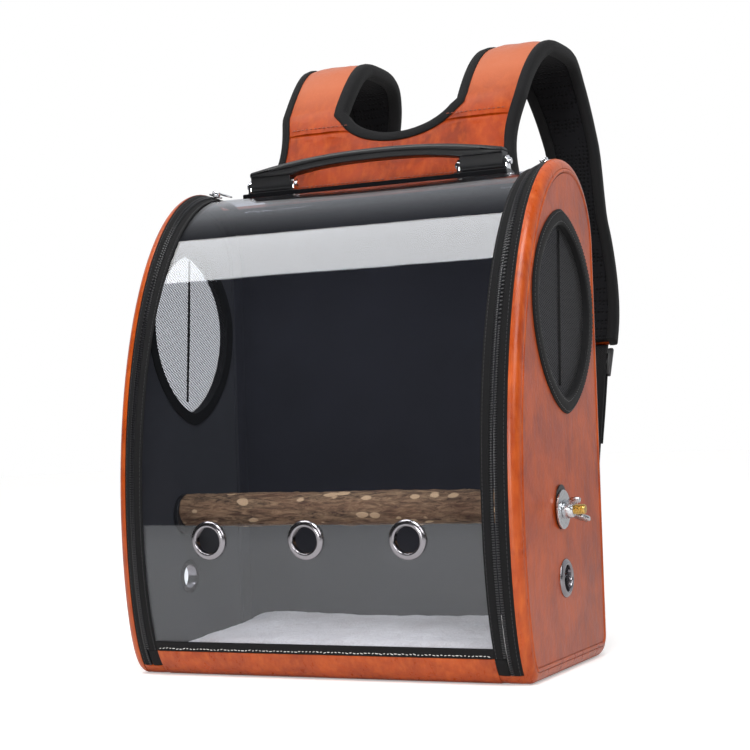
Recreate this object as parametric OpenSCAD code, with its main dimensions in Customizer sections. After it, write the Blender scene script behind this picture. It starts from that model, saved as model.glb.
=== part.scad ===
// Bird travel carrier: a backpack cabin with a clear front that opens on two side zips.
// Millimetres. +X to the wearer's left as seen from the front (picture right), -Y to the front,
// +Z up. The origin is on the floor, under the middle of the body.

/* [Body] */
// Width over the two side panels
body_w = 340; // [320:2:360]
// Depth from the window's fullest point to the back panel
body_d = 210; // [200:2:220]
// Height of the side panels at the crown
body_h = 400; // [380:2:420]
// Distance from the crown line to the back
crown_back = 63; // [56:1:70]
// Height at which the front is fullest
belly_z = 130; // [120:1:140]
// How far the front tucks in between its fullest point and the floor
toe_r = 31; // [26:1:36]
// Height of the rounded corner between crown and back
back_r = 65; // [55:1:75]
// Radius of the rounded corner between back and floor
heel_r = 18; // [14:1:22]
// Radius of the rolled leather edge around each side
edge_r = 8; // [6:0.5:10]
// Thickness of the rolled leather edge
roll_t = 3; // [2:0.25:4]
// Thickness of the stiffened walls
panel_t = 4; // [3:0.25:5]
// Thickness of the black lining
lining_t = 1; // [0.8:0.1:1.5]
// Diameter of the welt between rolled edge and side panel
welt_d = 3.6; // [3:0.2:4.4]

/* [Window] */
// Thickness of the clear sheet
sheet_t = 1.2; // [0.8:0.1:1.6]
// How far the window stands in front of the rolled edge
window_rise = 6; // [4:0.5:8]
// How far the window's crown lies below the side panels' crown
window_sag = 6; // [3:0.5:8]
// Height of the leather sill in front
sill_h = 19.5; // [16:0.5:24]
// Gap between the sill and the window's sewn hem
hem_gap = 0.35; // [0.3:0.05:0.8]
// Height of the sewn hem along the window's foot
hem_h = 7; // [5:0.5:9]
// Angle round the crown at which the window ends, 90 is the crown itself
window_end = 93; // [92:0.5:95]

/* [Zips] */
// Width of the sloping part of each zip band
bevel_w = 14; // [13:0.5:15]
// Width of the band's lip that is sewn on the clear sheet
lip_w = 5; // [4:0.5:7]
// Thickness of the zip tape
tape_t = 1.2; // [0.9:0.1:1.5]
// Distance from the rolled edge to the line between the rows of teeth
zip_in = 9.5; // [9:0.25:10]
// Gap between the two rows of teeth
row_gap = 0.9; // [0.8:0.1:1.2]
// Width of one row of teeth
row_w = 2.2; // [1.8:0.1:2.6]
// Height of the teeth above the tape
row_h = 1.2; // [1:0.1:1.6]
// Length of the zip slider
slider_l = 12; // [10:0.5:13]
// Width of the zip slider
slider_w = 9; // [8.5:0.25:10]
// Length of the pull tab
pull_l = 24; // [18:1:30]

/* [Vents] */
// Place of the side vents from front to back
vent_y = 17; // [10:1:19]
// Height of the vents' widest line
vent_z = 282; // [270:1:288]
// Half width of the net
vent_w = 61; // [50:1:64]
// Height of the net above its widest line
vent_h = 64; // [56:1:68]
// Height of the net below its widest line
vent_drop = 74; // [64:1:78]
// Width of the black binding round the net
binding_w = 11; // [8:0.5:13]
// Spacing of the net's strands
net_pitch = 7; // [7:0.5:10]
// Width of one strand of the net
strand_w = 1.4; // [1:0.1:2]

/* [Eyelets and perch] */
// Bore of every eyelet
eyelet_bore = 20; // [17:0.5:22]
// Outer diameter of every eyelet's flange
eyelet_d = 30; // [28:0.5:34]
// Height of the eyelets in the window
eyelet_z = 108; // [100:1:116]
// Spacing of the eyelets in the window
eyelet_gap = 84; // [74:1:92]
// Place of the side eyelets from front to back
side_eyelet_y = 1; // [-10:1:10]
// Height of the side eyelets
side_eyelet_z = 71; // [60:1:76]
// Diameter of the perch branch
perch_d = 28; // [24:1:32]
// Place of the perch from front to back
perch_y = -6; // [-14:1:2]
// Height of the perch
perch_z = 124; // [116:1:132]
// Diameter of the threaded studs in the perch's ends
stud_d = 7.9; // [6:0.1:9]
// Diameter of the washers outside
washer_d = 30; // [26:1:34]

/* [Carrying] */
// Half length of the carry handle
handle_x = 119; // [114:1:124]
// Rise of the grip above its pivots
handle_rise = 21; // [17:1:25]
// Lean of the yoke from upright
yoke_lean = 24; // [20:1:28]
// Half width of the yoke along its foot
yoke_w = 118; // [112:1:122]
// Height of the yoke from its foot to the straps' seams
yoke_h = 82; // [76:1:88]
// Depth of the shoulder straps' hoop from its top to its back
hoop_w = 70; // [62:1:76]
// Depth of the hoop from its top to its front, without its slant
hoop_front = 60; // [54:1:66]
// Rise of the hoop above the yoke
hoop_rise = 54; // [48:1:60]
// Slant of the hoop's front, back for each mm of rise
hoop_slant = 0.6; // [0.4:0.05:0.8]
// Thickness of the padded straps and yoke
pad_t = 9; // [7:0.5:11]
// Width of the webbing
web_w = 25; // [20:1:30]

/* [Hidden] */
$fn = 48;

// Clearance between soft or flat neighbours that only touch
touch = 0.2;
// Seam between a row of teeth and its tape
lift = 0.05;
// Radial clearance of pins and threads
running = 0.05;

// Places across the body
side_x = body_w / 2;
edge_x = side_x - edge_r;
bevel_x = edge_x - bevel_w;
lip_x = bevel_x - lip_w;
zip_x = edge_x - zip_in;
inner_x = side_x - panel_t - touch - lining_t;

// Places from front to back
back_y = body_d / 2;
edge_y = window_rise - back_y;
toe_y = edge_y + toe_r;
crown_y = back_y - crown_back;

// Stations round the side's outline, as angles: 270 floor, 180 front, 90 crown, 0 back
TOE = [for (k = [0:9]) 270 - 10 * k];
FRONT = [for (k = [1:20]) 180 - 4.5 * k];
CROWN = [for (k = [1:5]) 90 - 5.625 * k];
BACK = [for (k = [0:4]) 50 - 12.5 * k];
HEEL = [for (k = [0:4]) -0.5 - 22.375 * k];
OUTLINE = concat(TOE, FRONT, CROWN, BACK, HEEL);

// A point of the side's outline, moved in by i
function edge_pt(a, i = 0) =
    a > 180 ? [toe_y + (toe_r - i) * cos(a), belly_z + (belly_z - i) * sin(a)]
    : a >= 90 ? [crown_y + (crown_y - edge_y - i) * cos(a),
        belly_z + (body_h - belly_z - i) * sin(a)]
    : a >= 0 ? [crown_y + (crown_back - i) * cos(a), body_h - back_r + (back_r - i) * sin(a)]
    : [back_y - heel_r + (heel_r - i) * cos(a), heel_r + (heel_r - i) * sin(a)];

// A point of the window's outline, moved in by i
function window_pt(a, i = 0) =
    a > 180 ? [toe_y + (toe_r + window_rise - i) * cos(a), belly_z + (belly_z - i) * sin(a)]
    : a >= 90 ? [crown_y + (crown_y - edge_y + window_rise - i) * cos(a),
        belly_z + (body_h - window_sag - belly_z - i) * sin(a)]
    : [crown_y + (crown_back - i) * cos(a),
        body_h - back_r + (back_r - window_sag - i) * sin(a)];

// A point of the zip band at x, moved in by i: it slopes from the edge to the window
function band_pt(x, a, i = 0) =
    let (f = min(1, (edge_x - x) / bevel_w))
    let (p = edge_pt(a, i) * (1 - f) + window_pt(a, i) * f)
    [x, p.x, p.y];

// The angle at which the window's front reaches height z, below its fullest point
function foot_angle(z) = 180 + asin((belly_z - z) / belly_z);

// Angles from one station to another, with the outline's own in between
function stations(a0, a1) =
    concat([a0], [for (a = OUTLINE) if (a < a0 - 0.4 && a > a1 + 0.4) a], [a1]);

// The window stands on the sill, and bends about its foot when it opens
foot_z = sill_h + hem_gap;
foot_a = foot_angle(foot_z);
hinge_y = window_pt(foot_a).x;
echo("window hinge: y, z", hinge_y, foot_z);
// The yoke's foot line on the crown
yoke_y = crown_y + 30;
yoke_a = acos((yoke_y - crown_y) / crown_back);
yoke_z = edge_pt(yoke_a).y;
// Height of the leather corners, above which the zip bands start
corner_h = 6.5;
zip_foot_a = foot_angle(corner_h + 0.5);
zip_end_a = yoke_a + 2.6;

// Skin through rings of points, which run clockwise when looked at along the path
module loft(rings, closed = false) {
    n = len(rings[0]);
    m = len(rings);
    last = closed ? m - 1 : m - 2;
    sides = [for (k = [0:last], j = [0:n - 1])
        let (a = k * n + j, b = k * n + (j + 1) % n, c = ((k + 1) % m) * n)
        each [[a, c + j, b], [b, c + j, c + (j + 1) % n]]];
    caps = closed ? [] : [for (j = [1:n - 2])
        each [[0, j, j + 1], [(m - 1) * n, (m - 1) * n + j + 1, (m - 1) * n + j]]];
    polyhedron([for (r = rings) each r], concat(sides, caps));
}

// A flat shape drawn in (y, z), made solid from x0 to x1
module slab(x0, x1) {
    translate([x0, 0, 0]) rotate([90, 0, 90]) linear_extrude(x1 - x0) children();
}

// Draws its children on the right, or mirrored on the left
module sided(side) {
    mirror([side < 0 ? 1 : 0, 0, 0]) children();
}

module outline_2d(i) {
    polygon([for (a = OUTLINE) edge_pt(a, i)]);
}

// The strip between two depths of the window's outline
module window_strip_2d(a0, a1, i0, i1) {
    s = stations(a0, a1);
    n = len(s) - 1;
    polygon(concat([for (a = s) window_pt(a, i0)], [for (k = [0:n]) window_pt(s[n - k], i1)]));
}

// The strip between two depths of the side's outline
module edge_strip_2d(a0, a1, i0, i1) {
    s = stations(a0, a1);
    n = len(s) - 1;
    polygon(concat([for (a = s) edge_pt(a, i0)], [for (k = [0:n]) edge_pt(s[n - k], i1)]));
}

// A strip that lies in the zip band from x0 out to x1, between depths i0 and i1
module band_strip(x0, x1, i0, i1, a0, a1) {
    xs = x0 < bevel_x && x1 > bevel_x ? [x0, bevel_x, x1] : [x0, x1];
    n = len(xs) - 1;
    loft([for (a = stations(a0, a1)) concat([for (x = xs) band_pt(x, a, i0)],
        [for (k = [0:n]) band_pt(xs[n - k], a, i1)])]);
}

// The power by which a vent narrows: 2 is an ellipse, 1 a sharp point
leaf_point = 1.55;

// Leaf outline of a vent, grown by o: it narrows to a blunt point above and a longer one below
module leaf_2d(o) {
    polygon([for (t = [0:9:351]) let (u = cos(t), v = sqrt(1 - pow(abs(u), leaf_point)))
        [vent_y + (vent_w + o) * u, vent_z + (t < 180 ? (vent_h + o) * v : -(vent_drop + o) * v)]]);
}

// Holes through a side wall
module side_holes(x0, x1) {
    slab(x0, x1) leaf_2d(0);
    translate([x0, perch_y, perch_z]) rotate([0, 90, 0]) cylinder(d = stud_d + 1, h = x1 - x0);
    translate([x0, side_eyelet_y, side_eyelet_z]) rotate([0, 90, 0])
        cylinder(d = eyelet_bore + 3 + 2 * touch, h = x1 - x0);
}

panel_in = edge_r + welt_d + 2 * touch;

module side_panel(side) {
    color("peru") sided(side) difference() {
        slab(side_x - panel_t, side_x) outline_2d(panel_in);
        side_holes(side_x - panel_t - 1, side_x + 1);
    }
}

module lining(side) {
    color("dimgray") sided(side) difference() {
        slab(inner_x, inner_x + lining_t) outline_2d(panel_in);
        side_holes(inner_x - 1, side_x - panel_t - touch / 2);
    }
}

// The rolled edge turns from the zip band round to the side
module gusset(side) {
    turn = [0:22.5:90];
    outer = [for (q = turn) [edge_x + edge_r * sin(q), edge_r * (1 - cos(q))]];
    r = edge_r - roll_t;
    inner = [for (q = turn) [edge_x + r * sin(90 - q), edge_r - r * cos(90 - q)]];
    section = concat(outer, inner);
    color("chocolate") sided(side) loft([for (a = OUTLINE) [for (s = section)
        let (p = edge_pt(a, s.y)) [s.x, p.x, p.y]]], true);
}

// The thin welt in the groove between rolled edge and side panel
module welt(side) {
    r = welt_d / 2;
    section = [for (q = [0:45:315]) [side_x - r + 0.8 + r * cos(q), edge_r + touch + r - r * sin(q)]];
    color("sienna") sided(side) loft([for (a = OUTLINE) [for (s = section)
        let (p = edge_pt(a, s.y)) [s.x, p.x, p.y]]], true);
}

net_t = 0.8;

module vent_net(side) {
    color("black") sided(side) slab(side_x - panel_t + 0.4, side_x - panel_t + 0.4 + net_t)
        intersection() {
            leaf_2d(-touch);
            union() {
                difference() {
                    leaf_2d(-touch);
                    leaf_2d(-2);
                }
                for (k = [-ceil(vent_w / net_pitch):ceil(vent_w / net_pitch)])
                    translate([vent_y + k * net_pitch - strand_w / 2, vent_z - vent_drop])
                        square([strand_w, vent_drop + vent_h]);
                for (k = [-ceil(vent_drop / net_pitch):ceil(vent_h / net_pitch)])
                    translate([vent_y - 2 * vent_w, vent_z + k * net_pitch - strand_w / 2])
                        square([4 * vent_w, strand_w]);
            }
        }
}

module vent_binding(side) {
    color([0.1, 0.1, 0.1]) sided(side) slab(side_x + touch, side_x + touch + 1.6) difference() {
        leaf_2d(binding_w);
        leaf_2d(-1);
    }
}

// A pressed eyelet about +Z: rolled flange outside at z = 0, barrel and ring behind a wall of depth t
module eyelet(t) {
    r = eyelet_bore / 2;
    rotate_extrude() union() {
        polygon([[r, -t - touch - 1], [r + 1.5, -t - touch - 1], [r + 1.5, touch], [r, touch]]);
        polygon([[r, touch], [eyelet_d / 2, touch], [eyelet_d / 2 - 1, 1.6], [r + 2, 2.4],
            [r + 0.6, 2]]);
        polygon([[r, -t - touch - 1], [r + 4, -t - touch - 1], [r + 4, -t - touch], [r, -t - touch]]);
    }
}

module side_eyelet(side) {
    color("slategray") sided(side) translate([side_x, side_eyelet_y, side_eyelet_z])
        rotate([0, 90, 0]) eyelet(panel_t + touch + lining_t);
}

module base_panel() {
    color("saddlebrown") translate([-edge_x + touch, toe_y + touch, 0])
        cube([2 * (edge_x - touch), back_y - heel_r - toe_y - 2 * touch, panel_t]);
}

// The sill closes the front below the window
module front_sill() {
    color("chocolate")
        slab(-lip_x + touch, lip_x - touch) window_strip_2d(270, foot_angle(sill_h), 0, panel_t);
}

// Leather corners that wrap under the foot of each zip band
module sill_corners() {
    color("chocolate") for (side = [-1, 1]) sided(side)
        band_strip(lip_x, edge_x - touch, 0, panel_t, 267, foot_angle(corner_h));
}

// Leather back with the rounded corner above it and the heel below it
module back_panel() {
    color("saddlebrown") slab(-edge_x + touch, edge_x - touch)
        edge_strip_2d(yoke_a, -90, 0, panel_t);
}

module back_lining() {
    y1 = back_y - panel_t - touch;
    color("dimgray") translate([-edge_x + touch, y1 - lining_t, heel_r])
        cube([2 * (edge_x - touch), lining_t, body_h - back_r - heel_r]);
}

// The two pads on the back: width, height, thickness, foot and half the channel between them
pad_w = 104;
pad_h = 250;
pad_rise = 13;
pad_z = 76;
pad_in = 12;

// A padded cushion that stands on the plane y = 0: it swells to t and draws in between its corners
module cushion(w, h, t, nx, nz) {
    draw = 4;
    hem = 2;
    function side(half, a, b) = (half - draw * (1 - pow(b, 2)) * pow(a, 4)) * a;
    function rise(u, v) = hem + (t - hem) * sqrt((1 - pow(u, 4)) * (1 - pow(v, 4)));
    grid = [for (j = [0:nz], i = [0:nx]) let (u = 2 * i / nx - 1, v = 2 * j / nz - 1)
        [side(w / 2, u, v), rise(u, v), side(h / 2, v, u)]];
    back = [for (j = [0:nz], i = [0:nx]) let (u = 2 * i / nx - 1, v = 2 * j / nz - 1)
        [side(w / 2, u, v), 0, side(h / 2, v, u)]];
    n = (nx + 1) * (nz + 1);
    row = nx + 1;
    faces = concat(
        [for (j = [0:nz - 1], i = [0:nx - 1]) let (a = j * row + i)
            each [[a, a + 1, a + row], [a + 1, a + row + 1, a + row]]],
        [for (j = [0:nz - 1], i = [0:nx - 1]) let (a = n + j * row + i)
            each [[a, a + row, a + 1], [a + 1, a + row, a + row + 1]]],
        [for (i = [0:nx - 1]) each [[i, n + i, i + 1], [i + 1, n + i, n + i + 1]]],
        [for (i = [0:nx - 1]) let (a = nz * row + i)
            each [[a, a + 1, n + a], [a + 1, n + a + 1, n + a]]],
        [for (j = [0:nz - 1]) let (a = j * row)
            each [[a, a + row, n + a], [a + row, n + a + row, n + a]]],
        [for (j = [0:nz - 1]) let (a = j * row + nx)
            each [[a, n + a, a + row], [a + row, n + a, n + a + row]]]);
    polyhedron(concat(grid, back), faces);
}

module back_pad(side) {
    color("black") sided(side) translate([pad_in + pad_w / 2, back_y + touch, pad_z + pad_h / 2])
        cushion(pad_w, pad_h, pad_rise, 12, 20);
}

// Clear strip of the crown that stays, under the handle and up to the yoke
module top_sheet() {
    color([0.7, 0.75, 0.8, 0.4]) slab(-lip_x + touch, lip_x - touch)
        window_strip_2d(window_end - 0.5, yoke_a + 1, tape_t, tape_t + sheet_t);
}

// The fixed tape of a zip, with the stubs that stay of the other tape above and below the window
module zip_tape(side) {
    color([0.08, 0.08, 0.08]) sided(side) {
        band_strip(zip_x + row_gap / 2, edge_x - touch, 0, tape_t, zip_foot_a, zip_end_a);
        band_strip(lip_x, zip_x - row_gap / 2, 0, tape_t, zip_foot_a, foot_angle(sill_h));
        band_strip(lip_x, zip_x - row_gap / 2, 0, tape_t, window_end - 0.6, zip_end_a);
    }
}

// Rows of teeth on the fixed tapes, and the stops that join both tapes at each end
module zip_teeth(side) {
    near = zip_x + row_gap / 2;
    far = zip_x - row_gap / 2;
    stop = row_w + row_gap / 2;
    color([0.15, 0.15, 0.15]) sided(side) {
        band_strip(near, near + row_w, -row_h, -lift, zip_foot_a - 1.4, zip_end_a + 1.5);
        band_strip(far - row_w, far, -row_h, -lift, window_end - 0.6, zip_end_a + 1.5);
        band_strip(zip_x - stop, zip_x + stop, -row_h, -lift, zip_end_a + 1.3, zip_end_a);
        band_strip(zip_x - stop, zip_x + stop, -row_h, -lift, zip_foot_a, zip_foot_a - 1.2);
    }
}

// Depth of the clear sheet's face, just behind the tapes and the hem
sheet_in = tape_t + 0.1;

// The clear front: one curved sheet with three eyelet holes
module window_sheet() {
    color([0.7, 0.75, 0.8, 0.4]) difference() {
        slab(-bevel_x, bevel_x)
            window_strip_2d(foot_a, window_end, sheet_in, sheet_in + sheet_t);
        for (k = [-1:1])
            translate([k * eyelet_gap, -back_y - 10, eyelet_z]) rotate([-90, 0, 0])
                cylinder(d = eyelet_bore + 3 + 2 * touch, h = 30);
    }
}

module window_tape(side) {
    color([0.08, 0.08, 0.08]) sided(side)
        band_strip(lip_x, zip_x - row_gap / 2, 0, tape_t, foot_a, window_end);
}

module window_teeth(side) {
    far = zip_x - row_gap / 2;
    color([0.15, 0.15, 0.15]) sided(side)
        band_strip(far - row_w, far, -row_h, -lift, foot_a - 0.5, window_end + 0.3);
}

// The sewn hem along the window's foot, which bends as the window's hinge
module window_hem() {
    color([0.08, 0.08, 0.08]) slab(-lip_x + touch, lip_x - touch)
        window_strip_2d(foot_a, foot_angle(foot_z + hem_h), 0, tape_t);
}

module window_eyelets() {
    p = window_pt(foot_angle(eyelet_z), sheet_in);
    low = (belly_z - eyelet_z) / belly_z;
    tilt = atan((toe_r + window_rise) / belly_z * low / sqrt(1 - pow(low, 2)));
    color("slategray") for (k = [-1:1])
        translate([k * eyelet_gap, p.x, eyelet_z]) rotate([90 + tilt, 0, 0])
            eyelet(sheet_t + 3 * touch);
}

// The zip's crown, where the slider parks and about which it runs
slope = atan2(window_sag * zip_in / bevel_w, zip_in);
crown_z = band_pt(zip_x, 90).z;
crown_r = pow(crown_y - edge_y + window_rise * zip_in / bevel_w, 2)
    / (body_h - window_sag * zip_in / bevel_w - belly_z);
echo("slider's centre: y, z", crown_y, crown_z - crown_r);
slider_clear = 0.55;
plate_t = 1.4;
post_w = row_gap - 2 * touch;
pin_r = 0.8;

module at_slider(side) {
    sided(side) translate([zip_x, crown_y, crown_z]) rotate([0, -slope, 0]) children();
}

// The pull hangs on a pin between two lugs
lug_x = 2.6;
lug_t = 1.2;
pull_r = 1.7;
pull_z = row_h + slider_clear + plate_t + pull_r + touch;
pull_t = 1.4;

module slider(side) {
    top = row_h + slider_clear;
    low = -tape_t - slider_clear;
    color("silver") at_slider(side) union() {
        translate([-slider_w / 2, -slider_l / 2, top]) cube([slider_w, slider_l, plate_t]);
        translate([-slider_w / 2, -slider_l / 2, low - plate_t]) cube([slider_w, slider_l, plate_t]);
        // The post stays upright between the tapes, whose edges are upright
        rotate([0, slope, 0]) translate([-post_w / 2, -2, (low - plate_t / 2) / cos(slope)])
            cube([post_w, 4, (top - low + plate_t) / cos(slope)]);
        for (e = [-1, 1])
            translate([e * lug_x - lug_t / 2, -2, top + plate_t / 2])
                cube([lug_t, 4, pull_z - top - plate_t / 2 + 1.6]);
        translate([-lug_x, 0, pull_z]) rotate([0, 90, 0]) cylinder(r = pin_r, h = 2 * lug_x);
    }
}

eye_w = 2 * lug_x - lug_t - 2 * touch;

module pull(side) {
    color("silver") at_slider(side) translate([0, 0, pull_z]) difference() {
        union() {
            translate([-eye_w / 2, 0, 0]) rotate([0, 90, 0]) cylinder(r = pull_r, h = eye_w);
            translate([-eye_w / 2, 0, -pull_t / 2]) cube([eye_w, 8, pull_t]);
            translate([-eye_w, 7, -pull_t / 2]) cube([2 * eye_w, pull_l - 7, pull_t]);
        }
        translate([-eye_w, 0, 0]) rotate([0, 90, 0]) cylinder(r = pin_r + running, h = 2 * eye_w);
        translate([0, pull_l - 5, -pull_t]) cylinder(d = 4, h = 2 * pull_t);
    }
}

// The handle stands on a strip across the crown
plate_top = 3;
plate_a = yoke_a + 14;
pivot_y = crown_y + 5;
pivot_r = 6;
base_t = 0.6;
ear_z = window_pt(90).y + plate_top + touch / 2;
pivot_z = ear_z + base_t + touch / 2 + pivot_r;
ear_t = 3;
ear_w = 10;
ear_in = handle_x - 44;
pin_d = 4;
pin_l = 14;

module handle_plate() {
    color("black") slab(-handle_x - 2, handle_x + 2)
        window_strip_2d(window_end - 0.6, plate_a, -plate_top, tape_t - touch);
}

module handle_bracket(side) {
    color("silver") sided(side) difference() {
        union() {
            for (x = [ear_in, handle_x - ear_t]) {
                translate([x, pivot_y, pivot_z]) rotate([0, 90, 0]) cylinder(d = ear_w, h = ear_t);
                translate([x, pivot_y - ear_w / 2, ear_z]) cube([ear_t, ear_w, pivot_z - ear_z]);
            }
            translate([ear_in, pivot_y - ear_w / 2, ear_z]) cube([handle_x - ear_in, ear_w, base_t]);
        }
        translate([ear_in - 1, pivot_y, pivot_z]) rotate([0, 90, 0])
            cylinder(d = pin_d + 2 * running, h = handle_x - ear_in + 2);
    }
}

module handle_pins() {
    color("silver") for (side = [-1, 1]) sided(side) {
        translate([ear_in - 1, pivot_y, pivot_z]) rotate([0, 90, 0]) cylinder(d = pin_d, h = pin_l);
        translate([handle_x + 1 - pin_l, pivot_y, pivot_z]) rotate([0, 90, 0])
            cylinder(d = pin_d, h = pin_l);
    }
}

// The grip's depth from front to back, and the height where it leaves its end blocks
grip_w = 16;
grip_low = 6.4;

// Arched grip with an end block between the ears of each bracket
module handle_grip() {
    block0 = ear_in + ear_t + touch;
    block1 = handle_x - ear_t - touch;
    shoulder = 5;
    arch = [for (k = [0:16]) let (u = k / 8 - 1)
        [u * block1, grip_low + shoulder + (handle_rise + 1 - grip_low - shoulder) * (1 - pow(abs(u), 2.2))]];
    under = [for (k = [0:16]) let (u = 1 - k / 8)
        [u * block0, grip_low + (handle_rise - 9 - grip_low) * (1 - pow(abs(u), 2.6))]];
    color([0.1, 0.1, 0.1]) translate([0, pivot_y, pivot_z]) difference() {
        union() {
            rotate([90, 0, 0]) translate([0, 0, -grip_w / 2]) linear_extrude(grip_w)
                polygon(concat(arch, under));
            for (side = [-1, 1]) sided(side) translate([block0, 0, 0]) {
                rotate([0, 90, 0]) cylinder(r = pivot_r, h = block1 - block0);
                translate([0, -pivot_r, 0]) cube([block1 - block0, 2 * pivot_r, grip_low + 2]);
            }
        }
        for (side = [-1, 1], x = [block0 - 1, block1 + 1 - pin_l]) sided(side)
            translate([x, 0, 0]) rotate([0, 90, 0]) cylinder(d = pin_d + 2 * running, h = pin_l);
    }
}

// The perch hangs on two studs, which pass through the side walls
collar_t = 4;
perch_x = inner_x - collar_t - 2 * touch;
stud_out = 20;
stud_in = 28;

module perch() {
    r = perch_d / 2;
    bumps = [for (k = [0:12]) let (u = k / 6 - 1)
        [u * perch_x, r - 1 + 0.9 * sin(k * 97) * (1 - abs(u) * 0.4)]];
    color("sienna") translate([0, perch_y, perch_z]) rotate([0, 90, 0]) difference() {
        rotate_extrude() polygon(concat([[0, -perch_x]], [for (b = bumps) [b.y, b.x]], [[0, perch_x]]));
        for (side = [-1, 1])
            translate([0, 0, side * perch_x - stud_in - 1])
                cylinder(d = stud_d + 2 * running, h = 2 * stud_in + 2);
    }
}

module perch_stud(side) {
    color("goldenrod") sided(side) translate([perch_x - stud_in, perch_y, perch_z])
        rotate([0, 90, 0]) cylinder(d = stud_d, h = side_x + stud_out - perch_x + stud_in);
}

module perch_collars() {
    color("black") for (side = [-1, 1]) sided(side)
        translate([inner_x - touch - collar_t, perch_y, perch_z]) rotate([0, 90, 0]) difference() {
            cylinder(d = perch_d + 5, h = collar_t);
            translate([0, 0, -1]) cylinder(d = stud_d + 2 * running, h = collar_t + 2);
        }
}

// Pad behind each washer
seat_w = 22;
seat_t = 1.2;
seat_x = side_x + touch;

module stud_plates() {
    color("black") for (side = [-1, 1]) sided(side) slab(seat_x, seat_x + seat_t) difference() {
        union() {
            for (z = [-4, 8]) translate([perch_y, perch_z + z]) circle(d = seat_w);
            translate([perch_y - seat_w / 2, perch_z - 4]) square([seat_w, 12]);
        }
        translate([perch_y, perch_z]) circle(d = stud_d + 2 * touch);
    }
}

washer_t = 1.6;
washer_x = seat_x + seat_t + touch / 2;

module washers() {
    color("silver") for (side = [-1, 1]) sided(side) slab(washer_x, washer_x + washer_t)
        translate([perch_y, perch_z]) difference() {
            circle(d = washer_d);
            circle(d = stud_d + 2 * touch);
        }
}

nut_x = washer_x + washer_t + touch / 2;

// Wing nut about +X: a tapered hub and two swept wings
module wing_nut(side) {
    wing = [[3, 1], [7, 0.6], [10, 4], [14.5, 8], [16.5, 13], [15, 16.4], [11.5, 16.2], [8.5, 12],
        [5, 7.6]];
    wing_t = 2.8;
    color("silver") sided(side) translate([nut_x, perch_y, perch_z]) rotate([0, 90, 0])
        difference() {
            union() {
                cylinder(r1 = 7.5, r2 = 5.8, h = 8);
                for (w = [0, 180]) rotate([90, 0, w + 35]) translate([0, 0, -wing_t / 2])
                    linear_extrude(wing_t) polygon(wing);
            }
            translate([0, 0, -1]) cylinder(d = stud_d + 2 * running, h = 20);
        }
}

// The mat ends where the heel's curve begins
mat_y0 = toe_y + 4;
mat_y1 = back_y - heel_r + 1;
mat_in = 3;
mat_t = 22;

module floor_mat() {
    color("gainsboro") translate([0, (mat_y0 + mat_y1) / 2, panel_t + touch]) rotate([90, 0, 0])
        mirror([0, 0, 1]) cushion(2 * (inner_x - mat_in), mat_y1 - mat_y0, mat_t, 14, 10);
}

// The strap's middle line and half width along its length, u from 0 at the yoke to 1
strap_x = 84;
strap_w = 30;
hoop_out = 8;
foot_out = 34;
foot_in = 9;
function ease(u) = u * u * (3 - 2 * u);
function strap_mid(u) =
    strap_x + hoop_out * ease(min(1, u * 2)) + foot_out * ease(max(0, (u - 0.4) / 0.6));
function strap_half(u) =
    strap_w + 1.5 * sin(180 * min(1, 2 * u)) - foot_in * ease(max(0, 2 * u - 1));

// The yoke is a padded panel that leans back, cut out for the neck between its two ears
neck_w = 54;
neck_h = 39;
neck_deep = 25;
neck_v = yoke_h - neck_deep;
waist = 6.4;
yoke_top = strap_mid(0) + strap_half(0);

module at_yoke() {
    translate([0, yoke_y, yoke_z]) rotate([-yoke_lean, 0, 0]) children();
}

// Half width of the yoke at height v: drawn in at its waist and narrower at the straps
function yoke_half(v) = yoke_w - waist * sin(180 * v / yoke_h) - (yoke_w - yoke_top) * v / yoke_h;

module yoke() {
    flank = [for (k = [0:8]) let (v = k * yoke_h / 8) [yoke_half(v), v]];
    cut = [for (t = [-20:-10:-90]) [neck_w * cos(t), neck_v + neck_h + neck_h * sin(t)]];
    half = concat([[0, 0]], flank, [[neck_w, yoke_h]], [for (p = cut) if (p.y < yoke_h) p]);
    color("chocolate") at_yoke() for (side = [-1, 1]) sided(side)
        rotate([90, 0, 0]) translate([0, 0, -pad_t / 2]) linear_extrude(pad_t) polygon(half);
}

// The shoulder strap's path in (y, z): over a squarish hoop whose front leans back, then down
hoop_turn = 180 - yoke_lean;
hoop_square = 0.55;
hoop_h = hoop_rise / (1 - pow(sin(hoop_turn), hoop_square));
hoop_v = yoke_h + 1;
hoop_y = yoke_y + hoop_v * sin(yoke_lean) + hoop_front * pow(-cos(hoop_turn), hoop_square)
    + hoop_slant * hoop_rise;
hoop_z = yoke_z + hoop_v * cos(yoke_lean) - hoop_h * pow(sin(hoop_turn), hoop_square);
fall_r = 250;
fall = 29;

function hoop_pt(q) = let (run = pow(abs(cos(q)), hoop_square), lift = pow(abs(sin(q)), hoop_square))
    [cos(q) < 0 ? hoop_y - hoop_front * run - hoop_slant * hoop_h * (1 - lift) : hoop_y + hoop_w * run,
    hoop_z + hoop_h * lift];

PATH = concat(
    [for (k = [0:16]) hoop_pt(hoop_turn * (1 - k / 16))],
    [for (k = [1:6]) let (q = fall * k / 6)
        [hoop_y + hoop_w - fall_r * (1 - cos(q)), hoop_z - fall_r * sin(q)]]);

// Stations of the strap: place, and the direction that faces away from the wearer
STRAP = [for (k = [0:len(PATH) - 1])
    let (step = PATH[min(len(PATH) - 1, k + 1)] - PATH[max(0, k - 1)], t = step / norm(step))
    k == len(PATH) - 1 ? [PATH[k].x, PATH[k].y, cos(fall), -sin(fall)]
    : [PATH[k].x, PATH[k].y, -t.y, t.x]];

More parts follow.
